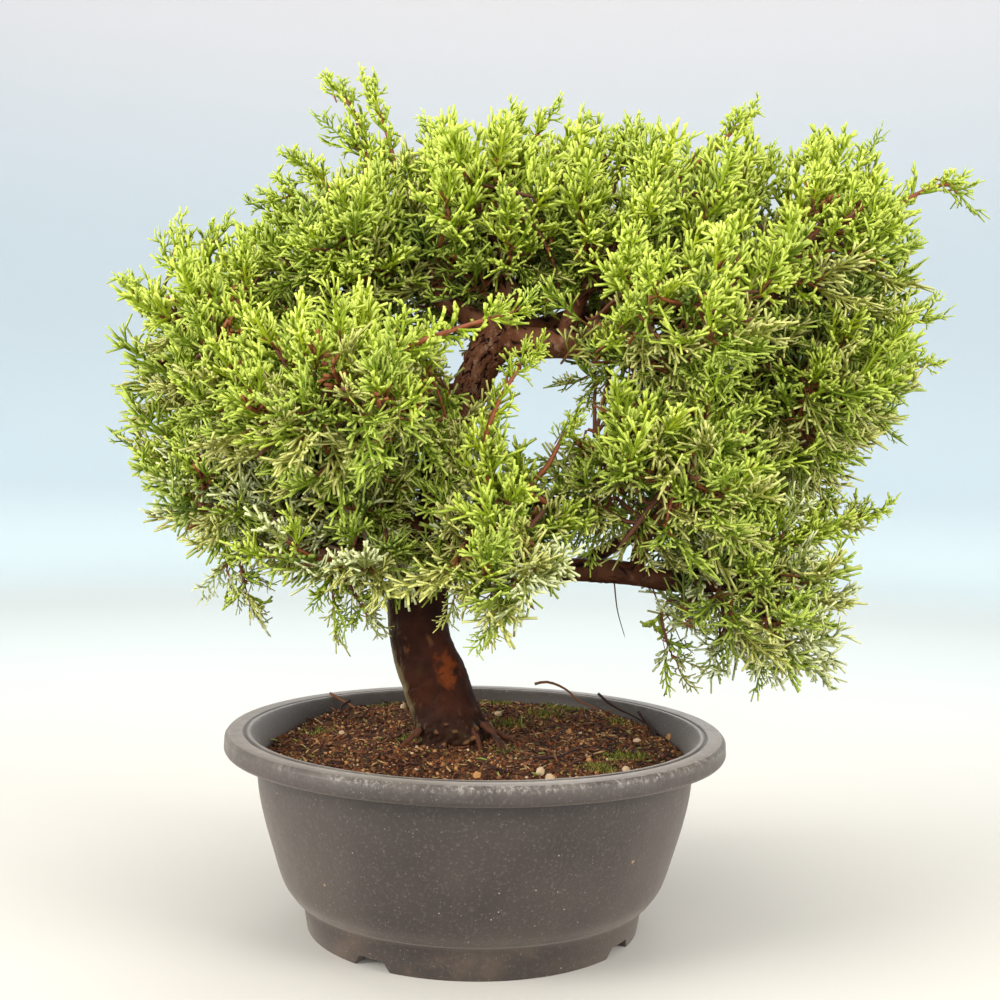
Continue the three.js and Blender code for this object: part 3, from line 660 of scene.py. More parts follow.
def frames_along(line):
    """Directions along the line and across it, carried on without twisting."""
    along = unit(np.gradient(line, axis=0))
    first = np.cross(along[0], up if abs(along[0][2]) < 0.9 else (1.0, 0, 0))
    across = [unit(first)]
    for direction in along[1:]:
        kept = across[-1] - direction * np.dot(across[-1], direction)
        across.append(unit(kept))
    across = np.array(across)
    return along, across, np.cross(along, across)


def limb(line, radii, sides, pointed=False):
    """Points and triangles of a limb whose rings stand at the line's points."""
    ring, turn, off, triangles = cylinder(sides, len(line) - 1, pointed)
    _, across, beside = frames_along(line)
    radius = (np.asarray(radii)[ring] * off)[:, None]
    spokes = np.cos(turn)[:, None] * across[ring] + np.sin(turn)[:, None] * beside[ring]
    return line[ring] + radius * spokes, triangles


def mesh_from(name, points, triangles, kinds=None, smooth=True):
    """A mesh from arrays in millimetres round the pot's axis."""
    mesh = bpy.data.meshes.new(name)
    mesh.vertices.add(len(points))
    mesh.vertices.foreach_set("co", in_frame(points).ravel())
    mesh.loops.add(3 * len(triangles))
    mesh.loops.foreach_set("vertex_index", np.ascontiguousarray(triangles, dtype=np.int32).ravel())
    mesh.polygons.add(len(triangles))
    mesh.polygons.foreach_set("loop_start", np.arange(0, 3 * len(triangles), 3, dtype=np.int32))
    if kinds is not None:
        mesh.polygons.foreach_set("material_index", np.asarray(kinds, dtype=np.int32))
    mesh.polygons.foreach_set("use_smooth", np.full(len(triangles), smooth))
    mesh.update(calc_edges=True)
    return mesh


class Heap:
    """Gathers many small shapes for one joined mesh."""

    def __init__(self):
        self.points, self.triangles, self.kinds, self.count = [], [], [], 0

    def add(self, points, triangles, kinds):
        self.points.append(points)
        self.triangles.append(triangles + self.count)
        self.kinds.append(np.broadcast_to(kinds, len(triangles)))
        self.count += len(points)

    def add_limb(self, line, radii, sides, kind):
        points, triangles = limb(line, radii, sides, pointed=True)
        self.add(points, triangles, kind)

    def add_tapering(self, points, rings, start_radius, end_radius, sides, kind):
        """A limb through a few points that gets evenly thinner."""
        line = evenly(smooth_line(points), rings)
        self.add_limb(line, np.linspace(start_radius, end_radius, rings), sides, kind)

    def add_copies(self, placed, triangles, kinds):
        """Adds copies of one shape, from the points of every copy in its place."""
        offsets = (np.arange(len(placed)) * placed.shape[1])[:, None, None]
        self.add(placed.reshape(-1, 3), (triangles[None] + offsets).reshape(-1, 3), kinds)

    def mesh(self, name, smooth=True):
        return mesh_from(name, np.vstack(self.points), np.vstack(self.triangles),
                         np.concatenate(self.kinds), smooth)


print("a cord of three sides and two rings has", len(cylinder(3, 2, True)[3]), "triangles")

# %% [markdown]
# ## The trunk's bark
#
# An old juniper's bark peels in long thin strips. Near the ground it is worn smooth and red-brown,
# with dark cracks and a patch of fresh orange; higher up it is greyer, lumpier and more flaky. A bump
# in the material would leave the outline smooth, so the relief is real: each point of a fine
# cylinder is moved out or in by a sum of noises that are stretched along the limb. How deep each
# point lies is kept as an attribute, and the finish darkens the cracks by it.

# %% Work out the bark's relief
def step_up(value, low, high):
    share = np.clip((value - low) / (high - low), 0, 1)
    return share * share * (3 - 2 * share)


def bark_relief(around, along, size, worn):
    """How far the bark stands out in mm, and how open it is from 0 in a crack to 1 on a plate.
    around is a point on the limb's round section, along the distance up it in mm."""
    out, tone = np.empty(len(along)), np.empty(len(along))
    for i, ((x, y), z, smoothness) in enumerate(zip(around, along, worn)):
        lump = noise.noise((x / 8, y / 8, z / 11 + 3.1))
        lump += 0.5 * noise.noise((x / 3.6, y / 3.6, z / 4.6))
        strip = noise.noise((x / 2.3, y / 2.3, z / 8))
        fine = noise.noise((x / 0.9, y / 0.9, z / 2.2))
        near = noise.voronoi((x / 4.4 + 0.7 * lump, y / 4.4 + 0.3 * fine, z / 7.5 + 0.8 * strip))[0]
        edge = min((near[1] - near[0]) / 0.20, 1.0)
        plate = noise.cell((near[0] * 40, z / 9, 1.0))
        crack = (1 - edge) ** 2
        rough = 1 - 0.85 * smoothness
        scar = max(0.0, 1 - abs(noise.noise((x / 10 + 4.0, y / 10, z / 9))) / 0.022) * smoothness
        out[i] = size * ((0.95 - 0.45 * smoothness) * lump - 0.35 * scar
                         + rough * (0.4 * strip + 0.28 * fine + 0.3 * plate - 0.7 * crack))
        tone[i] = 0.58 + rough * (0.22 * strip + 0.22 * fine + 0.2 * plate - 0.6 * crack) - 0.5 * scar
    return out, np.clip(tone, 0, 1)


def barked_limb(line, radii, sides, size, worn, seed):
    ring, turn, _, triangles = cylinder(sides, len(line) - 1)
    along = lengths_along(line)[ring]
    radius = np.asarray(radii)[ring]
    around = np.stack([np.cos(turn) * radius, np.sin(turn) * radius], axis=1) + seed
    out, tone = bark_relief(around, along + 31 * seed, size, np.asarray(worn)[ring])
    _, across, beside = frames_along(line)
    spokes = np.cos(turn)[:, None] * across[ring] + np.sin(turn)[:, None] * beside[ring]
    return line[ring], spokes, radius, out, tone, triangles, ring, turn


print("relief ready")

# %% [markdown]
# The trunk also has what a formula for bark can't give: a flared foot that grips the soil, a collar
# where each bough leaves, and a few old scars. Each is a soft swelling or dent round one point.

# %% Model the trunk
trunk_rings, trunk_sides = 384, 132
buried = 3.0
worn_to, rough_from = 118, 150
flare_height, flare_share, foot_lobes = 14, 0.2, 5
knobs_to, knob_height = 11, 1.7
even_line = evenly(np.column_stack([trunk_line, trunk_radii]), 2 * trunk_rings)
foot_start = int(np.argmax(even_line[:, 2] > ground_level - buried))
even_line = evenly(even_line[foot_start:], trunk_rings + 1)
worn = 1 - step_up(even_line[:, 2], worn_to, rough_from)
middle, spokes, radius, out, tone, triangles, ring, turn = barked_limb(
    even_line[:, :3], even_line[:, 3], trunk_sides, 1.0, worn, 0.0)
rise = middle[:, 2] - ground_level
flare = np.clip(1 - np.clip(rise, 0, None) / flare_height, 0, 1) ** 2
lobes = 0.5 + 0.5 * np.cos(foot_lobes * turn + 0.7 * np.sin(2 * turn))
slimmer = 0.9 * np.clip(rise / 12, 0, 1)
radius = radius * (1 + flare_share * flare * lobes + 0.03 * np.cos(3 * turn + rise / 26)) - slimmer
surface = middle + spokes * (radius + out)[:, None]
# Where each stands, how wide it is and how far it stands out, in mm
swellings = [(np.array(line[0]), root * 0.62, 1.5) for root, _, line in boughs.values()]
scars = [
    ((-28, -4, 118), 5.5, -1.6), ((-10, -5, 128), 7, 1.0), ((-24, -3, 139), 5, -1.1),
    ((-6, -4, 176), 5, 1.3), ((-17, -3, 160), 5, 1.2), ((-10, -7, 69), 2.6, 1.7), ((-15, -6, 71), 2.2, 1.4),
    ((-4, -6, 70), 2.3, 1.7), ((1, -5, 73), 2.0, 1.3), ((-21, -1, 70), 2.4, 1.7), ((-20, 1, 76), 1.8, 1.3),
    ((4, -1, 69), 2.6, 2.0), ((-7, -6, 74), 1.6, 1.0), ((-13, -6, 76), 1.5, 0.9), ((0, -6, 68), 1.6, 1.2),
]
for place, width, depth in swellings + scars:
    near = np.exp(-np.sum((surface - np.array(place)) ** 2, axis=1) / (2 * width ** 2))
    surface = surface + spokes * (depth * near)[:, None]
    if depth < 0:
        tone = tone * (1 - 0.8 * near)
knobs = np.array([noise.noise(point / 3.4) + 0.6 * noise.noise(point / 1.5)
                  for point in map(Vector, surface)])
knobs = knobs * np.clip(1 - (rise - 2) / knobs_to, 0, 1)
surface = surface + spokes * (knob_height * knobs)[:, None]
tone = np.clip(tone + 0.55 * knobs, 0, 1)
trunk_mesh = mesh_from("trunk_bark", surface, triangles)
print("trunk points", len(surface), "deepest", round(out.min(), 2), "highest", round(out.max(), 2))

# %% [markdown]
# ## The bark's finish
#
# One finish serves the trunk and the boughs. Its base runs from red-brown near the ground to
# grey-brown in the crown, read from the height. An orange patch shows where a strip has just come off,
# the knobs of the foot are paler, the low sides that face left are a paler green-grey, partly a bloom
# of algae and partly painted light from the left, and the cracks go nearly black by the kept attribute.

# %% Mix the bark
def keep_tone(mesh, tone):
    kept = mesh.attributes.new("openness", "FLOAT", "POINT")
    kept.data.foreach_set("value", tone.astype(np.float32))


fresh_patch = (-0.0098, -0.0055, 0.0935)
bark = Recipe("juniper_bark", roughness=0.6, gloss=0.06)
height = bark.add("SeparateXYZ", {"Vector": bark.place}).outputs["Z"]
openness = bark.add("Attribute", attribute_name="openness").outputs["Fac"]
blotches = bark.mottle(75, 5)
in_blotches = bark.between(blotches, 0.35, 0.66)
red = bark.tint(in_blotches, "1e0d07", "33180d")
red = bark.coat(red, "52331f", bark.patches(150, 4, 0.62, 0.74, where=bark.upright(0.7)))
from_patch = bark.add("VectorMath", {0: bark.place, 1: fresh_patch}, operation="SUBTRACT").outputs["Vector"]
oval = bark.add("VectorMath", {0: from_patch, 1: (1.25, 1, 0.72)}, operation="MULTIPLY").outputs["Vector"]
distance = bark.add("VectorMath", {0: oval}, operation="LENGTH").outputs["Value"]
ragged = {0: distance, 1: bark.product(bark.mottle(210, 3), 0.016)}
distance = bark.add("Math", ragged, operation="ADD").outputs["Value"]
red = bark.coat(red, "6c3210", bark.between(distance, 0.0160, 0.0115), 0.7)
ragged = {0: height, 1: bark.product(bark.mottle(160, 4), 0.012)}
level = bark.add("Math", ragged, operation="SUBTRACT").outputs["Value"]
red = bark.coat(red, "25140c", bark.between(level, 0.0740, 0.0660))
grey = bark.tint(in_blotches, "5c3623", "7c523c")
flakes = bark.patches(190, 5, 0.54, 0.68, where=bark.upright(0.6), rough=0.7)
grey = bark.coat(grey, "92705c", flakes)
base = bark.tint(bark.between(height, 0.112, 0.150), red, grey)
base = bark.coat(base, "4c4228", bark.patches(34, 4, 0.56, 0.74), bark.between(height, 0.130, 0.07), 0.4)
# Painted light: the low sides that face left are coated a paler green-grey, partly algae bloom and partly
# light from the left.
facing = bark.add("SeparateXYZ", {"Vector": bark.add("NewGeometry").outputs["Normal"]}).outputs["X"]
left_light_and_bloom = bark.product(bark.between(facing, -0.62, -0.96), bark.between(height, 0.125, 0.110))
base = bark.coat(base, "665c42", left_light_and_bloom, bark.between(blotches, 0.3, 0.6))
base = bark.coat(base, "6b4c30", bark.between(height, 0.082, 0.074), bark.between(openness, 0.66, 0.9))
streaks = bark.mottle(360, 5, where=bark.upright(0.4), rough=0.65)
base = bark.coat(base, "2a1813", bark.between(streaks, 0.50, 0.32), 0.45)
base = bark.coat(base, "1d100c", bark.between(openness, 0.44, 0.10))
shine = bark.add("MapRange", {"Value": streaks, "To Min": 0.48, "To Max": 0.78}).outputs["Result"]
bark.finish(base, bump=streaks, depth=0.0003, roughness=shine)
keep_tone(trunk_mesh, tone)
finished("trunk_bark", trunk_mesh, [bark.material], ["trunk"])

# %% [markdown]
# ## The boughs
#
# Each bough tapers from its collar to the place where its foliage starts, and then runs on inside
# the mass as the stem that all its twigs spring from. The stem's line is the solids' own: it leaves
# the tip straight on and bends towards the middle of the mass.

# %% Model the boughs with their stems
stem_tip_radius = 1.8
bough_sides, bough_relief, bough_worn, ring_gap = 22, 0.45, 0.15, 1.7
limb_balls = [np.column_stack([even_line[::6, :3], even_line[::6, 3]])]
stems = {}
bough_heap, bough_tones = Heap(), []


def stem_line(start, heading, centre):
    bend = start + heading * np.linalg.norm(centre - start) * 0.4
    t = np.linspace(0, 1, 14)[:, None]
    return (1 - t)**2 * start + 2 * (1 - t) * t * bend + t**2 * centre


def heap_bark(line, radii, number):
    worn = np.full(len(line), bough_worn)
    middle, spokes, radius, out, tone, triangles, _, _ = barked_limb(
        line, radii, bough_sides, bough_relief, worn, 7.0 + 3.3 * number)
    held = np.minimum(radius + out, radius + 1.0)
    bough_heap.add(middle + spokes * held[:, None], triangles, 0)
    bough_tones.append(tone)
    limb_balls.append(np.column_stack([line, radii])[::3])


for number, (name, on, centre, _, _) in enumerate(masses):
    centre = np.array(centre, float)
    if on == "trunk":
        line, radii = trunk_line, trunk_radii
    else:
        root, tip, points = boughs[on]
        line = smooth_line(points)
        radii = np.interp(lengths_along(line), [0, lengths_along(line)[-1]], [root / 2, tip / 2])
    start, heading = line[-1], unit(line[-1] - line[-2])
    stem = stem_line(start, heading, centre)
    stems[name] = stem
    stem_radii = np.linspace(radii[-1], stem_tip_radius, len(stem))
    if on == "trunk":
        line, radii = line[-2:-1], radii[-2:-1]
    whole = np.vstack([line, stem[1:]])
    whole_radii = np.concatenate([radii, stem_radii[1:]])
    count = max(int(lengths_along(whole)[-1] / ring_gap), 12)
    even = evenly(np.column_stack([whole, whole_radii]), count)
    heap_bark(even[:, :3], even[:, 3], number)
bough_mesh = bough_heap.mesh("boughs_bark")
keep_tone(bough_mesh, np.concatenate(bough_tones))
finished("boughs_bark", bough_mesh, [bark.material], ["bough_" + name for name in boughs])
limb_balls = np.vstack(limb_balls)
print("stems", len(stems), "balls that foliage keeps clear of", len(limb_balls))

# %% [markdown]
# ## Foliage colours
#
# Juniper foliage is made of thin cords of scale leaves. Each spray's colour follows how much light its
# spot gets, so the colours are partly the foliage's own and partly painted light: in the sun the cords
# are lime and bright, in half shade and where they hang mid green and olive, inside the crown deep green
# as painted shade, and low down silvery and paler, as painted light from below; dead ones in the shade
# go brown. These colours have a place on the tree, so each is a plain colour of its own, dealt out spray
# by spray, with a lighter one for the tips. A pattern in the material could not follow them.

# %% Mix the foliage and twig colours
# Lime and bright hold painted sunlight, deep holds painted shade, and silver is paler as painted light from
# below.
foliage_kinds_lit_and_shaded = {
    "lime": ("98a722", "bac65a"),
    "bright": ("869920", "acb94c"),
    "mid": ("758a22", "9caa48"),
    "olive": ("8b8d3c", "b4b46b"),
    "deep": ("60742a", "8a9945"),
    "silver": ("8f9752", "c2c696"),
    "dead": ("5c3219", "84502b"),
}
kind_number = {kind: 2 * i for i, kind in enumerate(foliage_kinds_lit_and_shaded)}
foliage_materials = []
for kind, (cord_code, tip_code) in foliage_kinds_lit_and_shaded.items():
    foliage_materials += finishes(f"juniper_{kind}_", {"cord": cord_code, "tip": tip_code}, 0.55, 0.22)
stalk_number = len(foliage_materials)
foliage_materials.append(plain_finish("juniper_stalk", "7c4a29", roughness=0.6, gloss=0.35))
twig_materials = [
    plain_finish("twig_brown", "5f3a28", roughness=0.7, gloss=0.3),
    plain_finish("twig_orange", "7f4120", roughness=0.55, gloss=0.4),
    plain_finish("twig_grey", "76604f", roughness=0.8, gloss=0.2),
]
twig_brown, twig_orange, twig_grey = range(3)
print("foliage materials", len(foliage_materials))

# %% [markdown]
# ## One spray
#
# A spray is a cord that forks left and right, and whose side cords fork again. In the sun it is
# short, stubby and crowded; in the shade the cords are longer and wider apart; and small ones fill
# in between. Eighteen sprays of these three sorts are grown here along +Y with their flat side up, and
# every spray of the crown is one of them, turned and sized. Three sides are enough for a cord that is
# little over 1 mm thick.

# %% Grow the patterns for the sprays
cord_part, tip_part, stalk_part = range(3)
spine_points = 30
bend_share = 0.58
one_fork_from, two_forks_from = 3.4, 6.2
fork_places = (0.38, 0.64)


def cord_line(root, heading, curl, length, shares):
    """Points of a cord at the given shares of its length. It bends halfway by the curl."""
    heading = unit(heading)
    bend = root + heading * length * 0.5
    tip = bend + unit(heading + curl) * length * 0.5
    t = np.array(shares)[:, None]
    return (1 - t)**2 * root + 2 * (1 - t) * t * bend + t**2 * tip


def add_cord(heap, root, heading, curl, length, radius, shares, tip_from, stalk_to=0.0):
    """A cord of even thickness with a blunt end. Its triangles are told apart as cord, tip or stalk."""
    line = cord_line(root, heading, curl, length, shares)
    radii = np.full(len(line), radius)
    radii[0], radii[-1] = 0.85 * radius, 0.84 * radius
    points, triangles = limb(line, radii, 3)
    ring = cylinder(3, len(line) - 1)[0]
    where = np.array(shares)[ring][triangles].mean(axis=1)
    parts = np.where(where < stalk_to, stalk_part, cord_part)
    heap.add(points, triangles, np.where(where > tip_from, tip_part, parts))
    return line


def spray_pattern(draw, length, side_count, bare, side_length, fork_length, radius, twist):
    """A spray along +Y, flat side up. Its lowest part is bare, and its side cords fork."""
    heap = Heap()
    lean = 0.5 * (draw() - 0.5)
    foot, way, curl = np.array([0, -1.5, 0]), np.array([lean, 1, -0.08]), np.array([-1.6 * lean, 0, 0.35])
    spine = add_cord(heap, foot, way, curl, length + 1.5, radius * 1.08,
                     (0, bare + 0.06, 0.6, 0.86, 1), 0.86, bare)
    grown = evenly(smooth_line(spine), spine_points)
    along = unit(np.gradient(grown, axis=0))
    side = 1 if draw() < 0.5 else -1
    for i in range(side_count):
        share = bare + (0.95 - bare) * (i + 0.7 * (draw() - 0.5)) / (side_count - 1)
        at = min(max(int(share * (spine_points - 1)), 0), spine_points - 1)
        root, forward = grown[at], along[at]
        turn = math.radians(130 * (draw() - 0.5)) * twist
        outward = np.array([side * math.cos(turn), 0, math.sin(turn) + 0.15])
        angle = math.radians(60 - 16 * share + 22 * (draw() - 0.5))
        heading = forward * math.cos(angle) + outward * math.sin(angle)
        reach = side_length * (1.10 - 0.58 * share) * (0.70 + 0.6 * draw())
        curl = (0.15 + 0.4 * draw()) * forward + 0.5 * np.array([0, 0, draw() - 0.3])
        cord = add_cord(heap, root, heading, curl, reach, radius, (0, bend_share, 1), 0.62)
        cord_way = unit(cord[-1] - root)
        fork_side = side if draw() < 0.6 else -side
        forks = 0 if reach < one_fork_from else 1 if reach < two_forks_from else 2
        for place in fork_places[:forks]:
            fork_share = place + 0.14 * (draw() - 0.5)
            if fork_share < bend_share:
                fork_root = root + (cord[1] - root) * fork_share / bend_share
            else:
                fork_root = cord[1] + (cord[2] - cord[1]) * (fork_share - bend_share) / (1 - bend_share)
            beside = unit(np.cross(cord_way, np.cross(forward, outward)))
            way = cord_way * 0.8 + beside * 0.58 * fork_side * side + 0.6 * np.array([0, 0, draw() - 0.4])
            add_cord(heap, fork_root, way, 0.5 * cord_way, fork_length * (0.65 + 0.7 * draw()), radius * 0.96,
                     (0, 1), 0.5)
            fork_side = -fork_side
        side = -side
    return np.vstack(heap.points), np.vstack(heap.triangles), np.concatenate(heap.kinds)


# How many patterns of each sort, and their values in the order that spray_pattern takes them
spray_sorts = {
    "sun": (8, (15.5, 9, 0.2, 7.8, 4.4, 0.61, 1.0)),
    "shade": (6, (20.5, 9, 0.24, 9.8, 5.6, 0.54, 0.8)),
    "small": (4, (9, 5, 0.16, 5.4, 3.2, 0.68, 1.0)),
}
pattern_draw = seeded_numbers(11)
patterns, pattern_sorts = [], {}
for sort, (count, values) in spray_sorts.items():
    pattern_sorts[sort] = range(len(patterns), len(patterns) + count)
    patterns += [spray_pattern(pattern_draw, *values) for _ in range(count)]
print("triangles in a spray", [len(pattern[1]) for pattern in patterns])

# %% [markdown]
# ## How a mass grows
#
# The solids grew a few twigs from each stem towards points that lie evenly on the mass's outline,
# found by the golden angle. The same rule, with less area for each twig, gives the tufts here: every
# twig ends in a tuft of seven sprays that spread round it and lift towards the light, and carries one
# small spray further in. Flat borders part neighbouring masses. A tuft that would cross one is drawn
# back behind it, and it is left out where too little of its twig would be left.

# %% Borders, clearances and the places of the tufts
golden_turn = math.pi * (3 - math.sqrt(5))
border_overlap = 9.0
no_limit = 9.0
fullness = 0.96
area_per_branch = 6000.0
area_per_tuft = 950.0
tuft_depth = 22.0
tuft_overhang = 4.0
crown_middle = np.array([16.0, 8.0, 196.0])
crown_reach = np.array([150.0, 95.0, 105.0])
mass_centres = np.array([mass[2] for mass in masses], float)
mass_reaches = np.array([mass[3] for mass in masses], float)


def outline_area(reach):
    a, b, c = reach
    return 4 * math.pi * (((a * b)**1.6 + (a * c)**1.6 + (b * c)**1.6) / 3)**(1 / 1.6)


def borders_of(index):
    """Planes between this mass and its neighbours, as directions and distances."""
    away = np.delete(mass_centres, index, axis=0) - mass_centres[index]
    distance = np.linalg.norm(away, axis=1)
    other = np.delete(mass_reaches, index, axis=0).mean(axis=1)
    own = mass_reaches[index].mean()
    share = (distance**2 + own**2 - other**2) / (2 * distance)
    return away / distance[:, None], share


def even_directions(count, draw):
    for i in range(count):
        level = 1 - 2 * (i + 0.5) / count
        ring = math.sqrt(1 - level * level)
        turn = i * golden_turn + 0.7 * draw()
        yield np.array([ring * math.cos(turn), ring * math.sin(turn), level])


def room_round(points):
    """How far each point is from the nearest limb's surface."""
    gaps = np.linalg.norm(points[:, None, :] - limb_balls[None, :, :3], axis=2) - limb_balls[None, :, 3]
    return gaps.min(axis=1)


def outward_ends(index, count, draw, shortest, least_share):
    """Ends of twigs on a mass's outline, drawn back behind the borders."""
    centre, reach = mass_centres[index], fullness * mass_reaches[index]
    ways, shares = borders_of(index)
    for direction in even_directions(count, draw):
        span = direction * reach
        length = shortest + (1.02 - shortest) * draw()
        facing = ways @ span
        limit = np.where(facing > 0, (shares + border_overlap) / np.maximum(facing, 1e-6), no_limit).min()
        kept = min(length, limit)
        if kept < least_share * length:
            continue
        yield centre + span * kept, unit(direction / reach)


print("tufts on the first mass's whole outline", round(outline_area(mass_reaches[0]) / area_per_tuft))

# %% [markdown]
# ## The crown's edge and its gaps
#
# The masses are plain ovals, and a real crown isn't. Its edge as the camera sees it is a chain of
# points, and each gap where sky or bare wood shows is an oval. Both are measured in the photograph's
# pixels and seen from the fitted camera. Sprays past the edge are drawn in towards the crown's middle,
# and none grow in a gap: through its whole depth, or only in front of the depth that it names, in mm
# behind the pot's axis. The long shoots are left alone, because they are what breaks the edge.

# %% Measure the edge and the gaps in the photograph
edge_middle = (520, 380)
crown_edge = [
    (250, 568), (232, 558), (216, 574), (190, 564), (148, 534), (129, 475), (113, 430), (111, 380),
    (105, 310), (112, 268), (150, 256), (188, 232), (232, 226), (264, 218), (290, 200), (304, 186),
    (330, 172), (362, 162), (396, 142), (410, 118), (440, 108), (470, 113), (515, 96), (560, 99),
    (600, 105), (640, 105), (662, 130), (700, 116), (750, 121), (800, 128), (825, 119), (878, 131),
    (896, 168), (914, 198), (930, 225), (926, 252), (939, 290), (946, 330), (949, 362), (930, 390),
    (906, 422), (878, 448), (858, 468), (852, 494), (862, 520), (863, 570), (856, 632), (850, 655),
    (830, 690), (770, 692), (692, 690), (668, 650), (640, 586), (562, 584), (548, 604), (522, 622),
    (500, 648), (462, 655), (440, 640), (398, 634), (368, 620), (340, 598), (290, 584),
]
edge_steps = 400
through = 999
sky_windows = [
    ((560, 410), (36, 30), through), ((594, 412), (20, 30), through), ((545, 428), (12, 16), through),
    ((545, 382), (24, 12), through), ((548, 317), (9, 6), through), ((597, 318), (12, 9), through),
    ((656, 328), (8, 6), through), ((644, 300), (6, 5), through), ((457, 352), (3, 5), through),
    ((432, 416), (9, 8), through), ((413, 447), (9, 9), through), ((612, 370), (28, 7), through),
    ((802, 366), (9, 6), through), ((930, 150), (34, 30), through), ((905, 466), (36, 22), through),
    ((900, 600), (32, 80), through), ((605, 650), (50, 62), through), ((300, 668), (70, 40), through),
    ((760, 720), (110, 22), through),
    ((470, 380), (26, 36), 0), ((475, 335), (22, 12), 0), ((545, 342), (40, 10), 0),
    ((405, 524), (16, 14), 0), ((618, 574), (60, 11), 0), ((325, 549), (62, 9), -26),
    ((640, 515), (40, 16), -20), ((590, 302), (30, 12), 6), ((668, 322), (24, 9), 6),
    ((765, 304), (24, 10), 6),
]
photo_size = 1000
pixels_per_radian = photo_size * camera_data.lens / camera_data.sensor_width
eye = np.array(camera_place)
view_across, view_up, view_back = np.array(camera.matrix_world.to_3x3()).T


def seen_at(points):
    """Where the camera sees the points, in pixels, and how far in front of it they are."""
    seen = points - eye
    away = -(seen @ view_back)
    across = photo_size / 2 + pixels_per_radian * (seen @ view_across) / away
    return across, photo_size / 2 - pixels_per_radian * (seen @ view_up) / away, away


def clear_of_windows(points):
    """False for points that stand in a place where the photograph shows sky or bare wood."""
    x, y, _ = seen_at(points)
    clear = np.ones(len(points), bool)
    for (middle_x, middle_y), (half_x, half_y), back in sky_windows:
        inside = ((x - middle_x) / half_x) ** 2 + ((y - middle_y) / half_y) ** 2 < 1
        clear &= ~(inside & (points[:, 1] < back))
    return clear


def drawn_in(points):
    """How each point has to move to stand inside the crown's edge, in mm."""
    chain = evenly(np.array(crown_edge + crown_edge[:1], float), edge_steps) - edge_middle
    turns, reaches = np.arctan2(chain[:, 1], chain[:, 0]), np.hypot(chain[:, 0], chain[:, 1])
    order = np.argsort(turns)
    x, y, away = seen_at(points)
    x, y = x - edge_middle[0], y - edge_middle[1]
    reach = np.hypot(x, y)
    allowed = np.interp(np.arctan2(y, x), turns[order], reaches[order], period=math.tau)
    excess = np.maximum(reach - allowed, 0) / np.maximum(reach, 1) * away / pixels_per_radian
    return (-x * excess)[:, None] * view_across + (y * excess)[:, None] * view_up


print("edge points", len(crown_edge), "windows", len(sky_windows))

# %% Grow the branches, twigs and tufts of every mass
sprays = []
twigs = Heap()
branches_of = {}
tuft_count = 0
branch_radii, tuft_twig_radii = (1.5, 0.7), (0.85, 0.5)
limb_clearance = 1.0


def add_twig(line, start_radius, end_radius, sides, kind):
    twigs.add_limb(line, np.linspace(start_radius, end_radius, len(line)), sides, kind)


def silver_and_light_from_below(point):
    """0 where the foliage is green and 1 low down, where it looks silvery and is painted paler, as light from
    below.
    """
    x, _, z = point
    if x > 0:
        return float(np.clip((150 - z) / 45, 0, 1))
    return float(np.clip((175 - z) / 40, 0, 1) * np.clip((-30 - x) / 45, 0.4, 1))


# Painted light: sunny spots get the light kinds, shaded ones olive and deep green.
def sort_and_kind(draw, exposure, silver, hangs):
    """The sort of spray and its colour, for how much light the spot gets."""
    chance = draw()
    if chance < 0.42 * silver * (1.2 if hangs else 1):
        return "shade" if draw() < 0.5 else "sun", "silver"
    if hangs and exposure < 0.55:
        return "shade", "olive" if draw() < 0.5 else "mid"
    if exposure > 0.7:
        return "sun", "lime" if draw() < 0.30 else "bright"
    if exposure > 0.45:
        return "sun" if draw() < 0.7 else "shade", "bright" if draw() < 0.55 else "mid"
    if exposure > 0.2:
        return "shade", "olive" if draw() < 0.5 else "mid"
    return "shade", "deep" if draw() < 0.6 else "olive"


def place_spray(mass, root, heading, facing, size, sort, kind, draw, on_shoot=False):
    choices = pattern_sorts[sort]
    pattern = choices[int(draw() * len(choices)) % len(choices)]
    sprays.append((mass, root, unit(heading), facing, size, pattern, kind_number[kind], on_shoot))


def grow_tuft(mass, base, axis, exposure, draw, count=7, spread=66, size=1.0, on_shoot=False):
    """Sprays round the last part of a twig: those at its tip go straight on, the lowest stand off it."""
    across = unit(np.cross(axis, up) + 1e-4)
    beside = np.cross(axis, across)
    first = draw() * math.tau
    silver = silver_and_light_from_below(base)
    for k in range(count):
        share = (k + 0.3) / count
        angle = math.radians(6 + spread * share ** 0.6 + 16 * (draw() - 0.5))
        turn = first + k * golden_turn
        outward = across * math.cos(turn) + beside * math.sin(turn)
        heading = axis * math.cos(angle) + outward * math.sin(angle)
        lift = 0.25 if heading[2] > -0.3 else 0.05
        heading = unit(heading + lift * up)
        root = base + axis * tuft_depth * (0.42 - 0.9 * share) * size
        facing = unit(0.6 * up + 0.5 * axis + 0.5 * (across * (draw() - 0.5) + beside * (draw() - 0.5)))
        sunlight = exposure + 0.3 * (draw() - 0.5)
        sort, kind = sort_and_kind(draw, sunlight, silver, heading[2] < -0.1)
        place_spray(mass, root, heading, facing, size * (0.80 + 0.34 * draw()), sort, kind, draw, on_shoot)


def nearest_on(lines, point, first=0.3, last=0.85):
    """The place on the nearest branch that a twig to this point would leave from."""
    best = None
    for line in lines:
        low, high = int(first * (len(line) - 1)), max(int(last * (len(line) - 1)), 1)
        part = line[low:high + 1]
        gaps = np.linalg.norm(part - point, axis=1)
        at = int(np.argmin(gaps))
        if best is None or gaps[at] < best[0]:
            here = low + at
            way = line[min(here + 1, len(line) - 1)] - line[max(here - 1, 0)]
            best = (gaps[at], line[here], unit(way))
    return best[1], best[2]


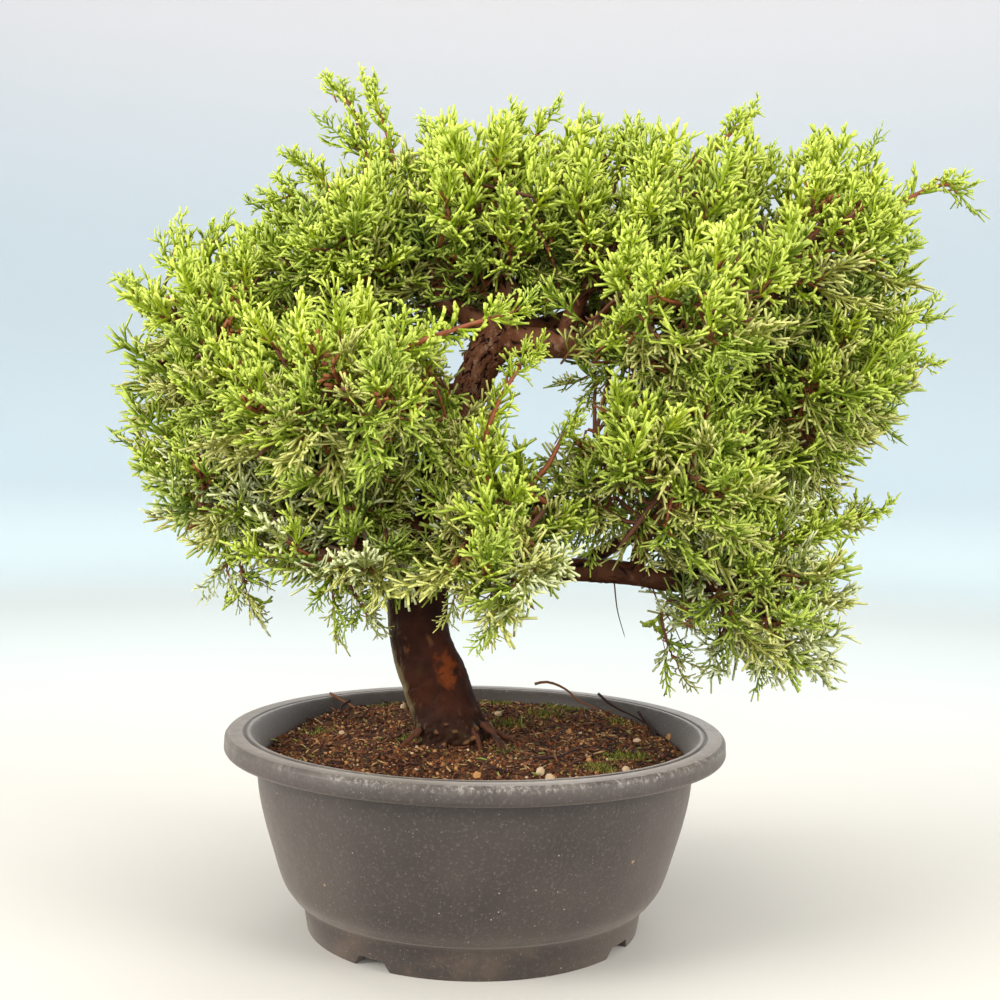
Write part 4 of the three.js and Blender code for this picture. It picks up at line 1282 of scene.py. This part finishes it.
def light_at(index, end, normal):
    """0 in the crown's inside and 1 on top of it, in the sun."""
    others = np.delete(np.arange(len(masses)), index)
    inside = np.linalg.norm((end - mass_centres[others]) / mass_reaches[others], axis=1).min()
    own = np.linalg.norm((end - mass_centres[index]) / mass_reaches[index])
    open_air = np.clip((inside - 0.5) / 0.4, 0, 1) * np.clip((own - 0.35) / 0.5, 0, 1)
    return open_air * (0.57 + 0.43 * normal[2]) + 0.08 * normal[2]


for index, (name, _, _, reach, _) in enumerate(masses):
    draw = seeded_numbers(101 + index)
    stem = stems[name]
    branches = [stem[6:]]
    count = round(outline_area(reach) / area_per_branch)
    for end, normal in outward_ends(index, count, draw, shortest=0.9, least_share=0.55):
        at = stem[int((0.55 + 0.45 * draw()) * (len(stem) - 1))]
        line = bent_line(at, unit(stem[-1] - stem[-4]), at + (end - at) * 0.74, unit(normal + 0.3 * up), 10)
        branches.append(line)
        add_twig(line, *branch_radii, 6, twig_brown)
    branches_of[name] = branches
    count = round(outline_area(reach) / area_per_tuft)
    for end, normal in outward_ends(index, count, draw, shortest=0.82, least_share=0.42):
        end = end + drawn_in(end[None])[0]
        outward = unit((end - crown_middle) / crown_reach)
        lift = 0.35 if normal[2] > -0.3 else 0.1
        sway = np.array([draw(), draw(), draw()]) - 0.5
        axis = unit(0.55 * normal + 0.6 * outward + lift * up + 0.5 * sway)
        base = end - axis * (tuft_depth + tuft_overhang)
        light = light_at(index, end, unit(normal + outward))
        if room_round(np.array([base, end]))[0] < limb_clearance:
            continue
        at, way = nearest_on(branches, base - axis * 8)
        line = bent_line(at, way, base + axis * 7, axis, 8)
        add_twig(line, *tuft_twig_radii, 4, twig_orange if draw() < 0.25 else twig_brown)
        grow_tuft(index, base, axis, light, draw)
        tuft_count += 1
        spot = line[int((0.4 + 0.4 * draw()) * (len(line) - 1))]
        away = unit(axis + 1.6 * (np.array([draw(), draw(), draw()]) - 0.5))
        size = 0.9 + 0.3 * draw()
        # The inner spray's deep green is painted shade; its dead brown is the foliage's own colour.
        place_spray(index, spot, away, up, size, "small", "dead" if draw() < 0.5 else "deep", draw)
print("tufts", tuft_count, "sprays", len(sprays), "twigs", len(twigs.points))

# %% [markdown]
# ## Shoots and side twigs
#
# A few strong shoots stand well out of the outline and give the crown its lively edge. Each has a
# red-brown axis that turns green towards its end, with short sprays standing off it on all sides.
# Weaker side twigs do the same where the photograph shows foliage between the masses: in the dips
# of the crown's top, in front of the trunk and hanging under the arch.

# %% Grow the shoots and the side twigs
shoot_bends = {
    (22, -58, 208): [(1.7, -56, 172), (5, -58, 184.6), (11.4, -58, 196.5), (16, -58, 205)],
    (23, -66, 219): [(-22, -70, 203)],
    (181, 0, 263): [(150, 0, 264), (165, 0, 270)],
    (153, -2, 155): [(118, -4, 143), (134, -2, 149.5)],
    (77, -12, 88): [(66, -11, 118), (68, -12, 103)],
    (-78, 0, 277): [(-59.5, 2, 268.5), (-66, 2, 272), (-73, 1, 274.6)],
    (-62, 5, 311): [(-43, 5, 279), (-46.3, 5, 286), (-48, 5, 292), (-52.2, 5, 298), (-57.4, 5, 305)],
    (-45.5, 3, 309.5): [(-33.5, 3, 268), (-36.3, 3, 284.7), (-38.9, 3, 291.5), (-41.2, 3, 297),
                        (-45, 3, 303)],
}
side_twigs = [
    ("left_outer", [(-103, 0, 232), (-97, 2, 246), (-90, 4, 257)]),
    ("left_outer", [(-112, 0, 236), (-112, 0, 247), (-109, 0, 254)]),
    ("crown_top_left", [(-70, 0, 262), (-76, 0, 262), (-84, 0, 259)]),
    ("crown_top_left", [(-47, 5, 280.7), (-53, 5, 284), (-60, 5, 288)]),
    ("crown_top", [(-16, 0, 272), (-20, 0, 282), (-22, 0, 290)]),
    ("crown_top", [(-6, -4, 270), (-9, -3, 280), (-10, 0, 288)]),
    ("crown_top", [(30, 0, 272), (34, 0, 283), (37, 0, 291)]),
    ("crown_top_right", [(48, 0, 275), (49, 0, 285), (49, 0, 292)]),
    ("crown_right", [(100, 0, 270), (103, 0, 277), (105, 0, 283)]),
    ("right_shoulder", [(140, 0, 186), (148, 0, 184), (152, 0, 180)]),
    ("right_low", [(118, -4, 146), (124, -4, 152), (130, -2, 158)]),
    ("right_low", [(128, -4, 146), (136, -3, 150), (143, -2, 153)]),
    ("right_front", [(40, -4, 200), (35, -10, 196), (28, -12, 192)]),
    ("right_front", [(46, -26, 156), (42, -30, 148), (38, -32, 136)]),
    ("right_front", [(56, -26, 152), (53, -31, 143), (54, -32, 133)]),
    ("right_front", [(40, -22, 152), (32, -25, 145), (28, -26, 137)]),
    ("centre_front", [(3, -52, 160), (5, -50, 170), (8, -50, 180)]),
    ("centre_front", [(-6, -48, 130), (-8, -50, 121), (-8, -52, 113)]),
    ("left_front", [(-24, -14, 184), (-16, -12, 194), (-11, -10, 203)]),
    ("right_front", [(46, -6, 202), (44, -10, 196), (42, -10, 190)]),
    ("right_front", [(56, -8, 200), (55, -12, 195), (52, -14, 189)]),
    ("left_front", [(-32, -34, 180), (-26, -32, 176), (-20, -30, 171)]),
    ("left_front", [(-36, -34, 172), (-30, -32, 167), (-25, -30, 161)]),
    ("left_front", [(-34, -36, 164), (-26, -34, 158), (-17, -32, 153)]),
    ("left_low", [(-36, -30, 150), (-30, -30, 147), (-22, -28, 143)]),
    ("left_low", [(-38, -28, 142), (-33, -28, 138), (-28, -26, 133)]),
    ("centre_front", [(-4, -44, 150), (-10, -40, 143), (-14, -34, 134)]),
    ("centre_front", [(0, -50, 156), (-4, -50, 166), (-6, -48, 176)]),
    ("centre_front", [(4, -52, 158), (-10, -48, 170), (-13, -44, 181)]),
    ("centre_front", [(-2, -52, 148), (-12, -50, 152), (-18, -46, 157)]),
]
small_shoot = [(16, -44, 158), (22.7, -45, 167), (28, -45, 178), (32, -45, 185), (38, -45, 188)]
low_wisps = [
    [(62, -8, 124), (64, -9, 119), (70, -10, 110), (73, -12, 104), (78, -10, 100)],
    [(70, -10, 110), (66, -12, 106), (67, -12, 101)],
    [(48.7, -5, 125), (50, -6, 115), (53, -6, 105)],
]
bare_low_limbs = [
    [(-27, -20, 131), (-36, -24, 134.5), (-45, -25, 135.5), (-53, -25, 138), (-58, -26, 142)],
    [(-45, -25, 135), (-54, -28, 134), (-61, -30, 133), (-66, -30, 136), (-72, -30, 138), (-81, -30, 144)],
    [(-61, -30, 133), (-64, -33, 141), (-70, -34, 148)],
    [(-37, -24, 135), (-40, -30, 145), (-46, -34, 152)],
    [(-66, -30, 136), (-73, -32, 134.5), (-78, -32, 137)],
]
# The length that is dressed with sprays and the step between them in mm, the axis's colour, the light
upper_shoot, lower_shoot = (60.0, 3.8, twig_orange, 0.75), (28.0, 4.0, twig_brown, 0.5)
lower_shoots_to = 125
shoot_green = 15.0
shoot_points = 30


def line_from_branch(name, points):
    """A side twig's line, carried back to the nearest branch of its mass."""
    first = np.array(points[0], float)
    at, _ = nearest_on(branches_of[name], first, 0.2, 1.0)
    gap = np.linalg.norm(first - at)
    lead = [at, at + 0.55 * (first - at)] if gap > 6 else [at]
    return evenly(smooth_line([*lead, *points]), shoot_points)


def grow_shoot(mass, line, draw, dressed, step, kind_of_twig, exposure):
    """Sprays round the last stretch of a shoot. Its axis is bare before that and green at its end."""
    length, last = lengths_along(line)[-1], shoot_points - 1
    green_from = int(last * (1 - min(shoot_green / length, 0.6)))
    arrive = unit(line[-1] - line[green_from])
    radii = (1.2, 0.65) if kind_of_twig == twig_orange else (0.8, 0.5)
    add_twig(line[:green_from + 2], *radii, 5, kind_of_twig)
    silver = silver_and_light_from_below(line[-1])
    count = 0
    for share in np.arange(max(0.3, 1 - dressed / length), 1 - 12 / length, step / length):
        at = int(share * last)
        way = unit(line[min(at + 2, last)] - line[max(at - 2, 0)])
        side = unit(np.cross(way, up) + 1e-4)
        over = np.cross(way, side)
        turn = count * golden_turn + 0.5 * draw()
        heading = way * 0.85 + (side * math.cos(turn) + over * math.sin(turn)) * 0.75 + 0.1 * up
        _, kind = sort_and_kind(draw, exposure, silver, False)
        size = (1.15 - 0.35 * share) * (0.85 + 0.2 * draw())
        sort = "sun" if share < 0.45 and dressed > 30 else "small"
        place_spray(mass, line[at], heading, up, size, sort, kind, draw, True)
        count += 1
    count, size = (4, 0.62) if dressed > 20 else (3, 0.55)
    grow_tuft(mass, line[green_from], arrive, exposure, draw, count, spread=44, size=size, on_shoot=True)


mass_numbers = {mass[0]: index for index, mass in enumerate(masses)}
for index, (name, *_, shoots) in enumerate(masses):
    draw = seeded_numbers(301 + index)
    stem = stems[name]
    for shoot in shoots:
        tip = np.array(shoot, float)
        at = stem[int((0.7 + 0.2 * draw()) * (len(stem) - 1))]
        bends = [np.array(bend, float) for bend in shoot_bends.get(shoot, [at + 0.55 * (tip - at)])]
        line = evenly(smooth_line([at, at + 0.5 * (bends[0] - at), *bends, tip]), shoot_points)
        grow_shoot(index, line, draw, *(upper_shoot if tip[2] > lower_shoots_to else lower_shoot))
for number, (name, points) in enumerate(side_twigs):
    draw = seeded_numbers(501 + number)
    bright = 0.75 if points[-1][2] > 225 or number == 0 else 0.42
    grow_shoot(mass_numbers[name], line_from_branch(name, points), draw, 22.0, 4.0, twig_brown, bright)
line = line_from_branch("centre_front", small_shoot)
grow_shoot(mass_numbers["centre_front"], line, seeded_numbers(601), 18.0, 4.5, twig_orange, 0.7)
for points in low_wisps:
    twigs.add_tapering(points, 14, 0.3, 0.12, 4, twig_brown)
for points in bare_low_limbs:
    twigs.add_tapering(points, 20, 1.25, 0.5, 7, twig_grey)
print("sprays with those of the shoots", len(sprays))

# %% [markdown]
# ## Placing the sprays
#
# Sprays that would run into a limb are dropped, and those that would reach past the plant's own
# size are drawn in. The rest are placed all at once: for each mass and each pattern the turned
# copies are one array product, and each mass becomes one mesh that takes its solid's place.

# %% Turn, size and join the sprays
mass_of, roots, headings, facings, sizes, pattern_of, kind_of, on_shoots = map(np.array, zip(*sprays))
flats = unit(facings - headings * np.sum(facings * headings, axis=1, keepdims=True) + 1e-5)
acrosses = np.cross(headings, flats)
pattern_lengths = np.array([pattern[0][:, 1].max() for pattern in patterns])
spans = (pattern_lengths[pattern_of] * sizes)[:, None]
low_margins, high_margins = (2.6, 6.0, 2.6), (2.9, 2.8, 2.6)
low = (np.array(solid_low) - axis_place) * 1000 + low_margins
high = (np.array(solid_high) - axis_place) * 1000 - high_margins
tips = roots + headings * spans
roots = roots + np.where(on_shoots[:, None], 0, drawn_in(tips))
tips = roots + headings * spans
roots = roots + np.clip(tips, low, high) - tips
least_room = 1.2
free = np.ones(len(sprays), bool)
for share in (0.25, 0.6, 0.95):
    spots = roots + headings * spans * share
    free &= (room_round(spots) > least_room) & (on_shoots | clear_of_windows(spots))
print("sprays kept", int(free.sum()), "of", len(sprays))
total = 0
for index, (name, *_) in enumerate(masses):
    heap = Heap()
    for number, (points, triangles, parts) in enumerate(patterns):
        chosen = np.flatnonzero(free & (mass_of == index) & (pattern_of == number))
        if not len(chosen):
            continue
        turned = np.stack([acrosses[chosen], headings[chosen], flats[chosen]], axis=1)
        placed = np.einsum("pk,skj->spj", points, turned) * sizes[chosen, None, None]
        placed = placed + roots[chosen, None, :]
        kinds = np.where(parts == stalk_part, stalk_number, kind_of[chosen, None] + parts)
        heap.add_copies(placed, triangles, kinds.ravel())
    leaves = finished("leaves_" + name, heap.mesh("leaves_" + name), foliage_materials,
                      ["foliage_" + name])
    total += len(leaves.data.polygons)
print("foliage triangles", total)
finished("twigs", twigs.mesh("twigs"), twig_materials)

# %% [markdown]
# ## Soil
#
# The pot is filled with mineral grit that has crumbled and gone red-brown, a little higher round the
# trunk, heaped up at the back and washed down in front. The bed is a spun surface with noise in its
# height, and the grit on it is several thousand small stones of six patterns, each a dented ball of
# twenty faces, half sunk in the bed. Where a slow noise is high its stones are dark, as painted shade.

# %% Shape the bed of soil
soil_edge, soil_crown, soil_radius = 62.6, 66.4, 75.8
# Each works between two depths, in mm behind the pot's axis: the heap rises, and the front slumps
soil_rise, rise_from, rise_to = 3.9, 16, 54
soil_slump, slump_from, slump_to = 1.4, 16, -14


def soil_height(x, y):
    distance = math.hypot(x, y)
    rise = soil_crown - (soil_crown - soil_edge) * min(distance / 76, 1) ** 2.2
    rise += soil_rise * step_up(y, rise_from, rise_to) - soil_slump * step_up(-y, -slump_from, -slump_to)
    bumps = 0.8 * noise.noise((x / 11, y / 11, 2.0)) + 0.35 * noise.noise((x / 3.5, y / 3.5, 5.0))
    return rise + bumps * (1 - step_up(distance, 70, 76)) - 0.5


flat_top = 64.0
bed_side = [(0, 8.4), (54.4, 8.4), (59, 10.8), (66.4, 19.6), (70, 30.8), (73.4, 42.8), (75.3, 53.8),
            (soil_radius, 61.4)]
bed = spun(bed_side + [(radius, flat_top) for radius in np.linspace(soil_radius - 0.2, 0, 52)], 160)
for vert in bed.verts:
    if vert.co.z > flat_top - 0.1:
        vert.co.z = soil_height(vert.co.x, vert.co.y)
earth = Recipe("soil_earth", roughness=0.95, gloss=0.15)
crumbs = earth.mottle(520, 6, rough=0.7)
base = earth.tint(earth.between(crumbs, 0.34, 0.66), "26150d", "603d24")
base = earth.coat(base, "2f2414", earth.patches(40, 3, 0.5, 0.65), 0.55)
earth.finish(base, bump=crumbs, depth=0.0009)
finished("soil_bed", mesh_of(bed, "soil_bed"), [earth.material], ["soil"])

# %% Strew the grit
scatter = np.random.default_rng(5)


def stone_pattern(flatness):
    shape = bmesh.new()
    bmesh.ops.create_icosphere(shape, subdivisions=1, radius=1)
    for vert in shape.verts:
        vert.co *= 0.78 + 0.4 * scatter.random()
        vert.co.z *= flatness
    return arrays_of(shape)


def random_turns(count):
    quaternions = scatter.normal(size=(count, 4))
    w, x, y, z = (quaternions / np.linalg.norm(quaternions, axis=1, keepdims=True)).T
    rows = [[1 - 2 * (y * y + z * z), 2 * (x * y - z * w), 2 * (x * z + y * w)],
            [2 * (x * y + z * w), 1 - 2 * (x * x + z * z), 2 * (y * z - x * w)],
            [2 * (x * z - y * w), 2 * (y * z + x * w), 1 - 2 * (x * x + y * y)]]
    return np.array(rows).transpose(2, 0, 1)


def strew(heap, pattern, places, radii, kinds):
    points, triangles = pattern
    placed = np.einsum("pk,sjk->spj", points, random_turns(len(places))) * radii[:, None, None]
    heap.add_copies(placed + places[:, None, :], triangles, np.repeat(kinds, len(triangles)))


grit = Heap()
grit_codes = {"dark": "2e1c16", "red": "643a23", "brown": "754d31", "tan": "9e754a", "olive": "534526",
              "pale": "ab9477"}
grit_materials = finishes("grit_", grit_codes, 0.95, 0.1)
stone_count = 9600
distance = soil_radius * np.sqrt(scatter.random(stone_count))
turn = scatter.random(stone_count) * math.tau
radii = 0.27 + 0.6 * scatter.random(stone_count) ** 2.8
places = np.stack([distance * np.cos(turn), distance * np.sin(turn), np.zeros(stone_count)], axis=1)
places[:, 2] = [soil_height(x, y) for x, y in places[:, :2]] + 0.25 * radii
kinds = scatter.choice(6, stone_count, p=(0.24, 0.28, 0.26, 0.13, 0.07, 0.02))
# Painted shade: where a slow noise is high, brown and tan stones are swapped for dark and red ones.
shade_patches = np.array([noise.noise((x / 15, y / 15, 9.0)) > 0.02 for x, y in places[:, :2]])
kinds = np.where(shade_patches & (kinds > 1) & (kinds < 4), kinds - 2, kinds)
stone_patterns = [stone_pattern(flatness) for flatness in (0.6, 0.75, 0.9, 0.7, 1.0, 0.5)]
for number, pattern in enumerate(stone_patterns):
    chosen = np.arange(stone_count) % len(stone_patterns) == number
    strew(grit, pattern, places[chosen], radii[chosen], kinds[chosen])
pebbles = np.array([
    (74.0, 24, 1.9), (25.5, -45.4, 1.8), (22.3, -40.5, 2.0), (1.3, -47.5, 1.5), (-5, -56, 1.3),
    (28, -50, 1.4), (14, -55, 1.2), (-18, -58, 1.1), (52, -30, 1.5), (35, 20, 1.3), (-50, 10, 1.2),
    (60, 12, 1.6), (-35, -45, 1.2), (8, 40, 1.6), (-30, 50, 1.4), (40, -20, 1.2),
])
pebble_places = np.array([(x, y, soil_height(x, y) + 0.4 * r) for x, y, r in pebbles])
strew(grit, stone_patterns[1], pebble_places, pebbles[:, 2], np.where(np.arange(len(pebbles)) % 3 == 0, 3, 5))
finished("soil_grit", grit.mesh("soil_grit", smooth=False), grit_materials)

# %% [markdown]
# ## Moss, fallen bits and dead roots
#
# Moss has started on the damp soil: at the trunk's foot, at the back and near the rim on the right.
# It is made of tiny pointed blades. Fallen cords and bark chips lie about. A few dead roots, thin and
# dark as wire, lie over the soil or stick up from it by the rim, and thicker live ones leave the foot.

# %% Plant the moss and lay the litter
moss = Heap()
moss_codes = {"dark": "393c1a", "green": "525823", "yellow": "787830"}
moss_materials = finishes("moss_", moss_codes, 0.9, 0.1)
# Where a patch is, its width in mm and how full it is
moss_patches = [
    (-24, 3, 5, 110), (12, 28, 8, 110), (33, 61, 10, 230), (26, 45, 9, 150), (43.5, -29, 6, 150),
    (52, -10, 7, 190), (60, -8, 4, 70), (-38, 60, 7, 60), (-60, 20, 6, 50), (10, -10, 6, 50),
    (-14, 22, 7, 70), (8, 66, 8, 110), (55, 40, 6, 60),
]
blades_for_each = 1.7
for x, y, width, count in moss_patches:
    for _ in range(int(count * blades_for_each)):
        spot = np.array([x, y]) + scatter.normal(size=2) * width * 0.45
        if np.hypot(*spot) > 75.5:
            continue
        root = np.array([*spot, soil_height(*spot) - 0.2])
        lean = np.array([*(scatter.normal(size=2) * 0.45), 1.0])
        tip = root + unit(lean) * (0.9 + 1.3 * scatter.random())
        moss.add_limb(np.array([root, tip]), [0.34, 0.1], 3, int(scatter.random() * 3))
finished("moss", moss.mesh("moss"), moss_materials)

litter = Heap()
litter_codes = {"root": "2b1914", "bark": "66412a", "straw": "9c7d52", "leaf": "7b8540", "wood": "452618"}
litter_materials = finishes("litter_", litter_codes, 0.85, 0.2)
litter_count = 2600
for _ in range(litter_count):
    spot = 74.5 * math.sqrt(scatter.random()) * unit(scatter.normal(size=2))
    way = unit(np.array([*scatter.normal(size=2), 0.25 * scatter.normal()]))
    start = np.array([*spot, soil_height(*spot) + 0.5])
    length = 1.2 + 4.2 * scatter.random() ** 3
    thickness = 0.16 + 0.05 * length
    line = bent_line(start, way, start + way * length, unit(way + 0.5 * scatter.normal(size=3)), 3)
    kind = int(scatter.choice(4, p=(0.24, 0.48, 0.22, 0.06)))
    litter.add_limb(line, [thickness, thickness, 0.5 * thickness], 3, kind)
dead_roots = [
    [(22.8, 64, 76), (27, 64, 77), (32.2, 63, 76), (37, 62, 73.4), (40, 61, 70.6), (44, 60, 68.8),
     (49, 56, 67.4), (54.8, 50, 65)],
    [(48.8, 62, 73), (52.4, 60, 70), (57, 54, 68), (62, 47, 66.8), (66, 40, 65.6), (70.8, 35, 64.4)],
    [(63.3, 42, 69.5), (65.7, 38, 66.5), (67.9, 30, 64), (70.3, 16, 61.8)],
    [(-60.3, 56, 72), (-55.1, 55, 69.4), (-46.9, 50, 66), (-43, 42, 64.5)],
    [(-51.3, 50, 70.2), (-54.4, 47, 68.2), (-53.6, 44, 66), (-51.9, 38, 64)],
    [(-66.7, 36, 65.4), (-60.8, 34, 65), (-53, 30, 64.2)],
    [(5, 27, 66.8), (8.9, 0.5, 66), (13.5, -13, 65.2), (17.1, -14, 64.8), (24, -15, 64)],
    [(20.4, -21, 64.4), (28.4, -22, 65), (35.3, -10.5, 65.2), (42.2, -3, 65), (46.7, -4, 64.8),
     (50.2, -6.5, 63.4)],
    [(6, -8, 70), (9, -13, 67.6), (12, -18, 65)],
]
surface_roots = [
    [(2, -2, 72), (6, -4, 69.6), (8, -7, 66.8), (9, -11, 63.4)],
    [(-2, -5, 71), (1, -8, 67.6), (2, -12, 63.2)],
    [(3, 2, 71), (8, 2, 68.2), (13, 0, 66), (18, -3, 63.8)],
    [(-20, -4, 70), (-24, -7, 66.8), (-28, -11, 63.4)],
]
litter_root, litter_bark, litter_wood = 0, 1, 4
for number, points in enumerate(dead_roots):
    litter.add_tapering(points, 16, 0.62, 0.28, 5, litter_root if number % 3 else litter_bark)
for points in surface_roots:
    line = evenly(smooth_line(points), 14)
    line[:, 2] += 0.4 * np.sin(np.arange(14) * 1.7)
    litter.add_limb(line, np.linspace(1.3, 0.5, 14), 8, litter_wood)
finished("litter", litter.mesh("litter"), litter_materials)

# %% [markdown]
# ## Measuring
#
# The dressed plant has to keep the size of its solids. The solids' box is printed.

# %% Print the solids' size and finish
print("solids", [round(v, 4) for v in (*solid_low, *solid_high)])
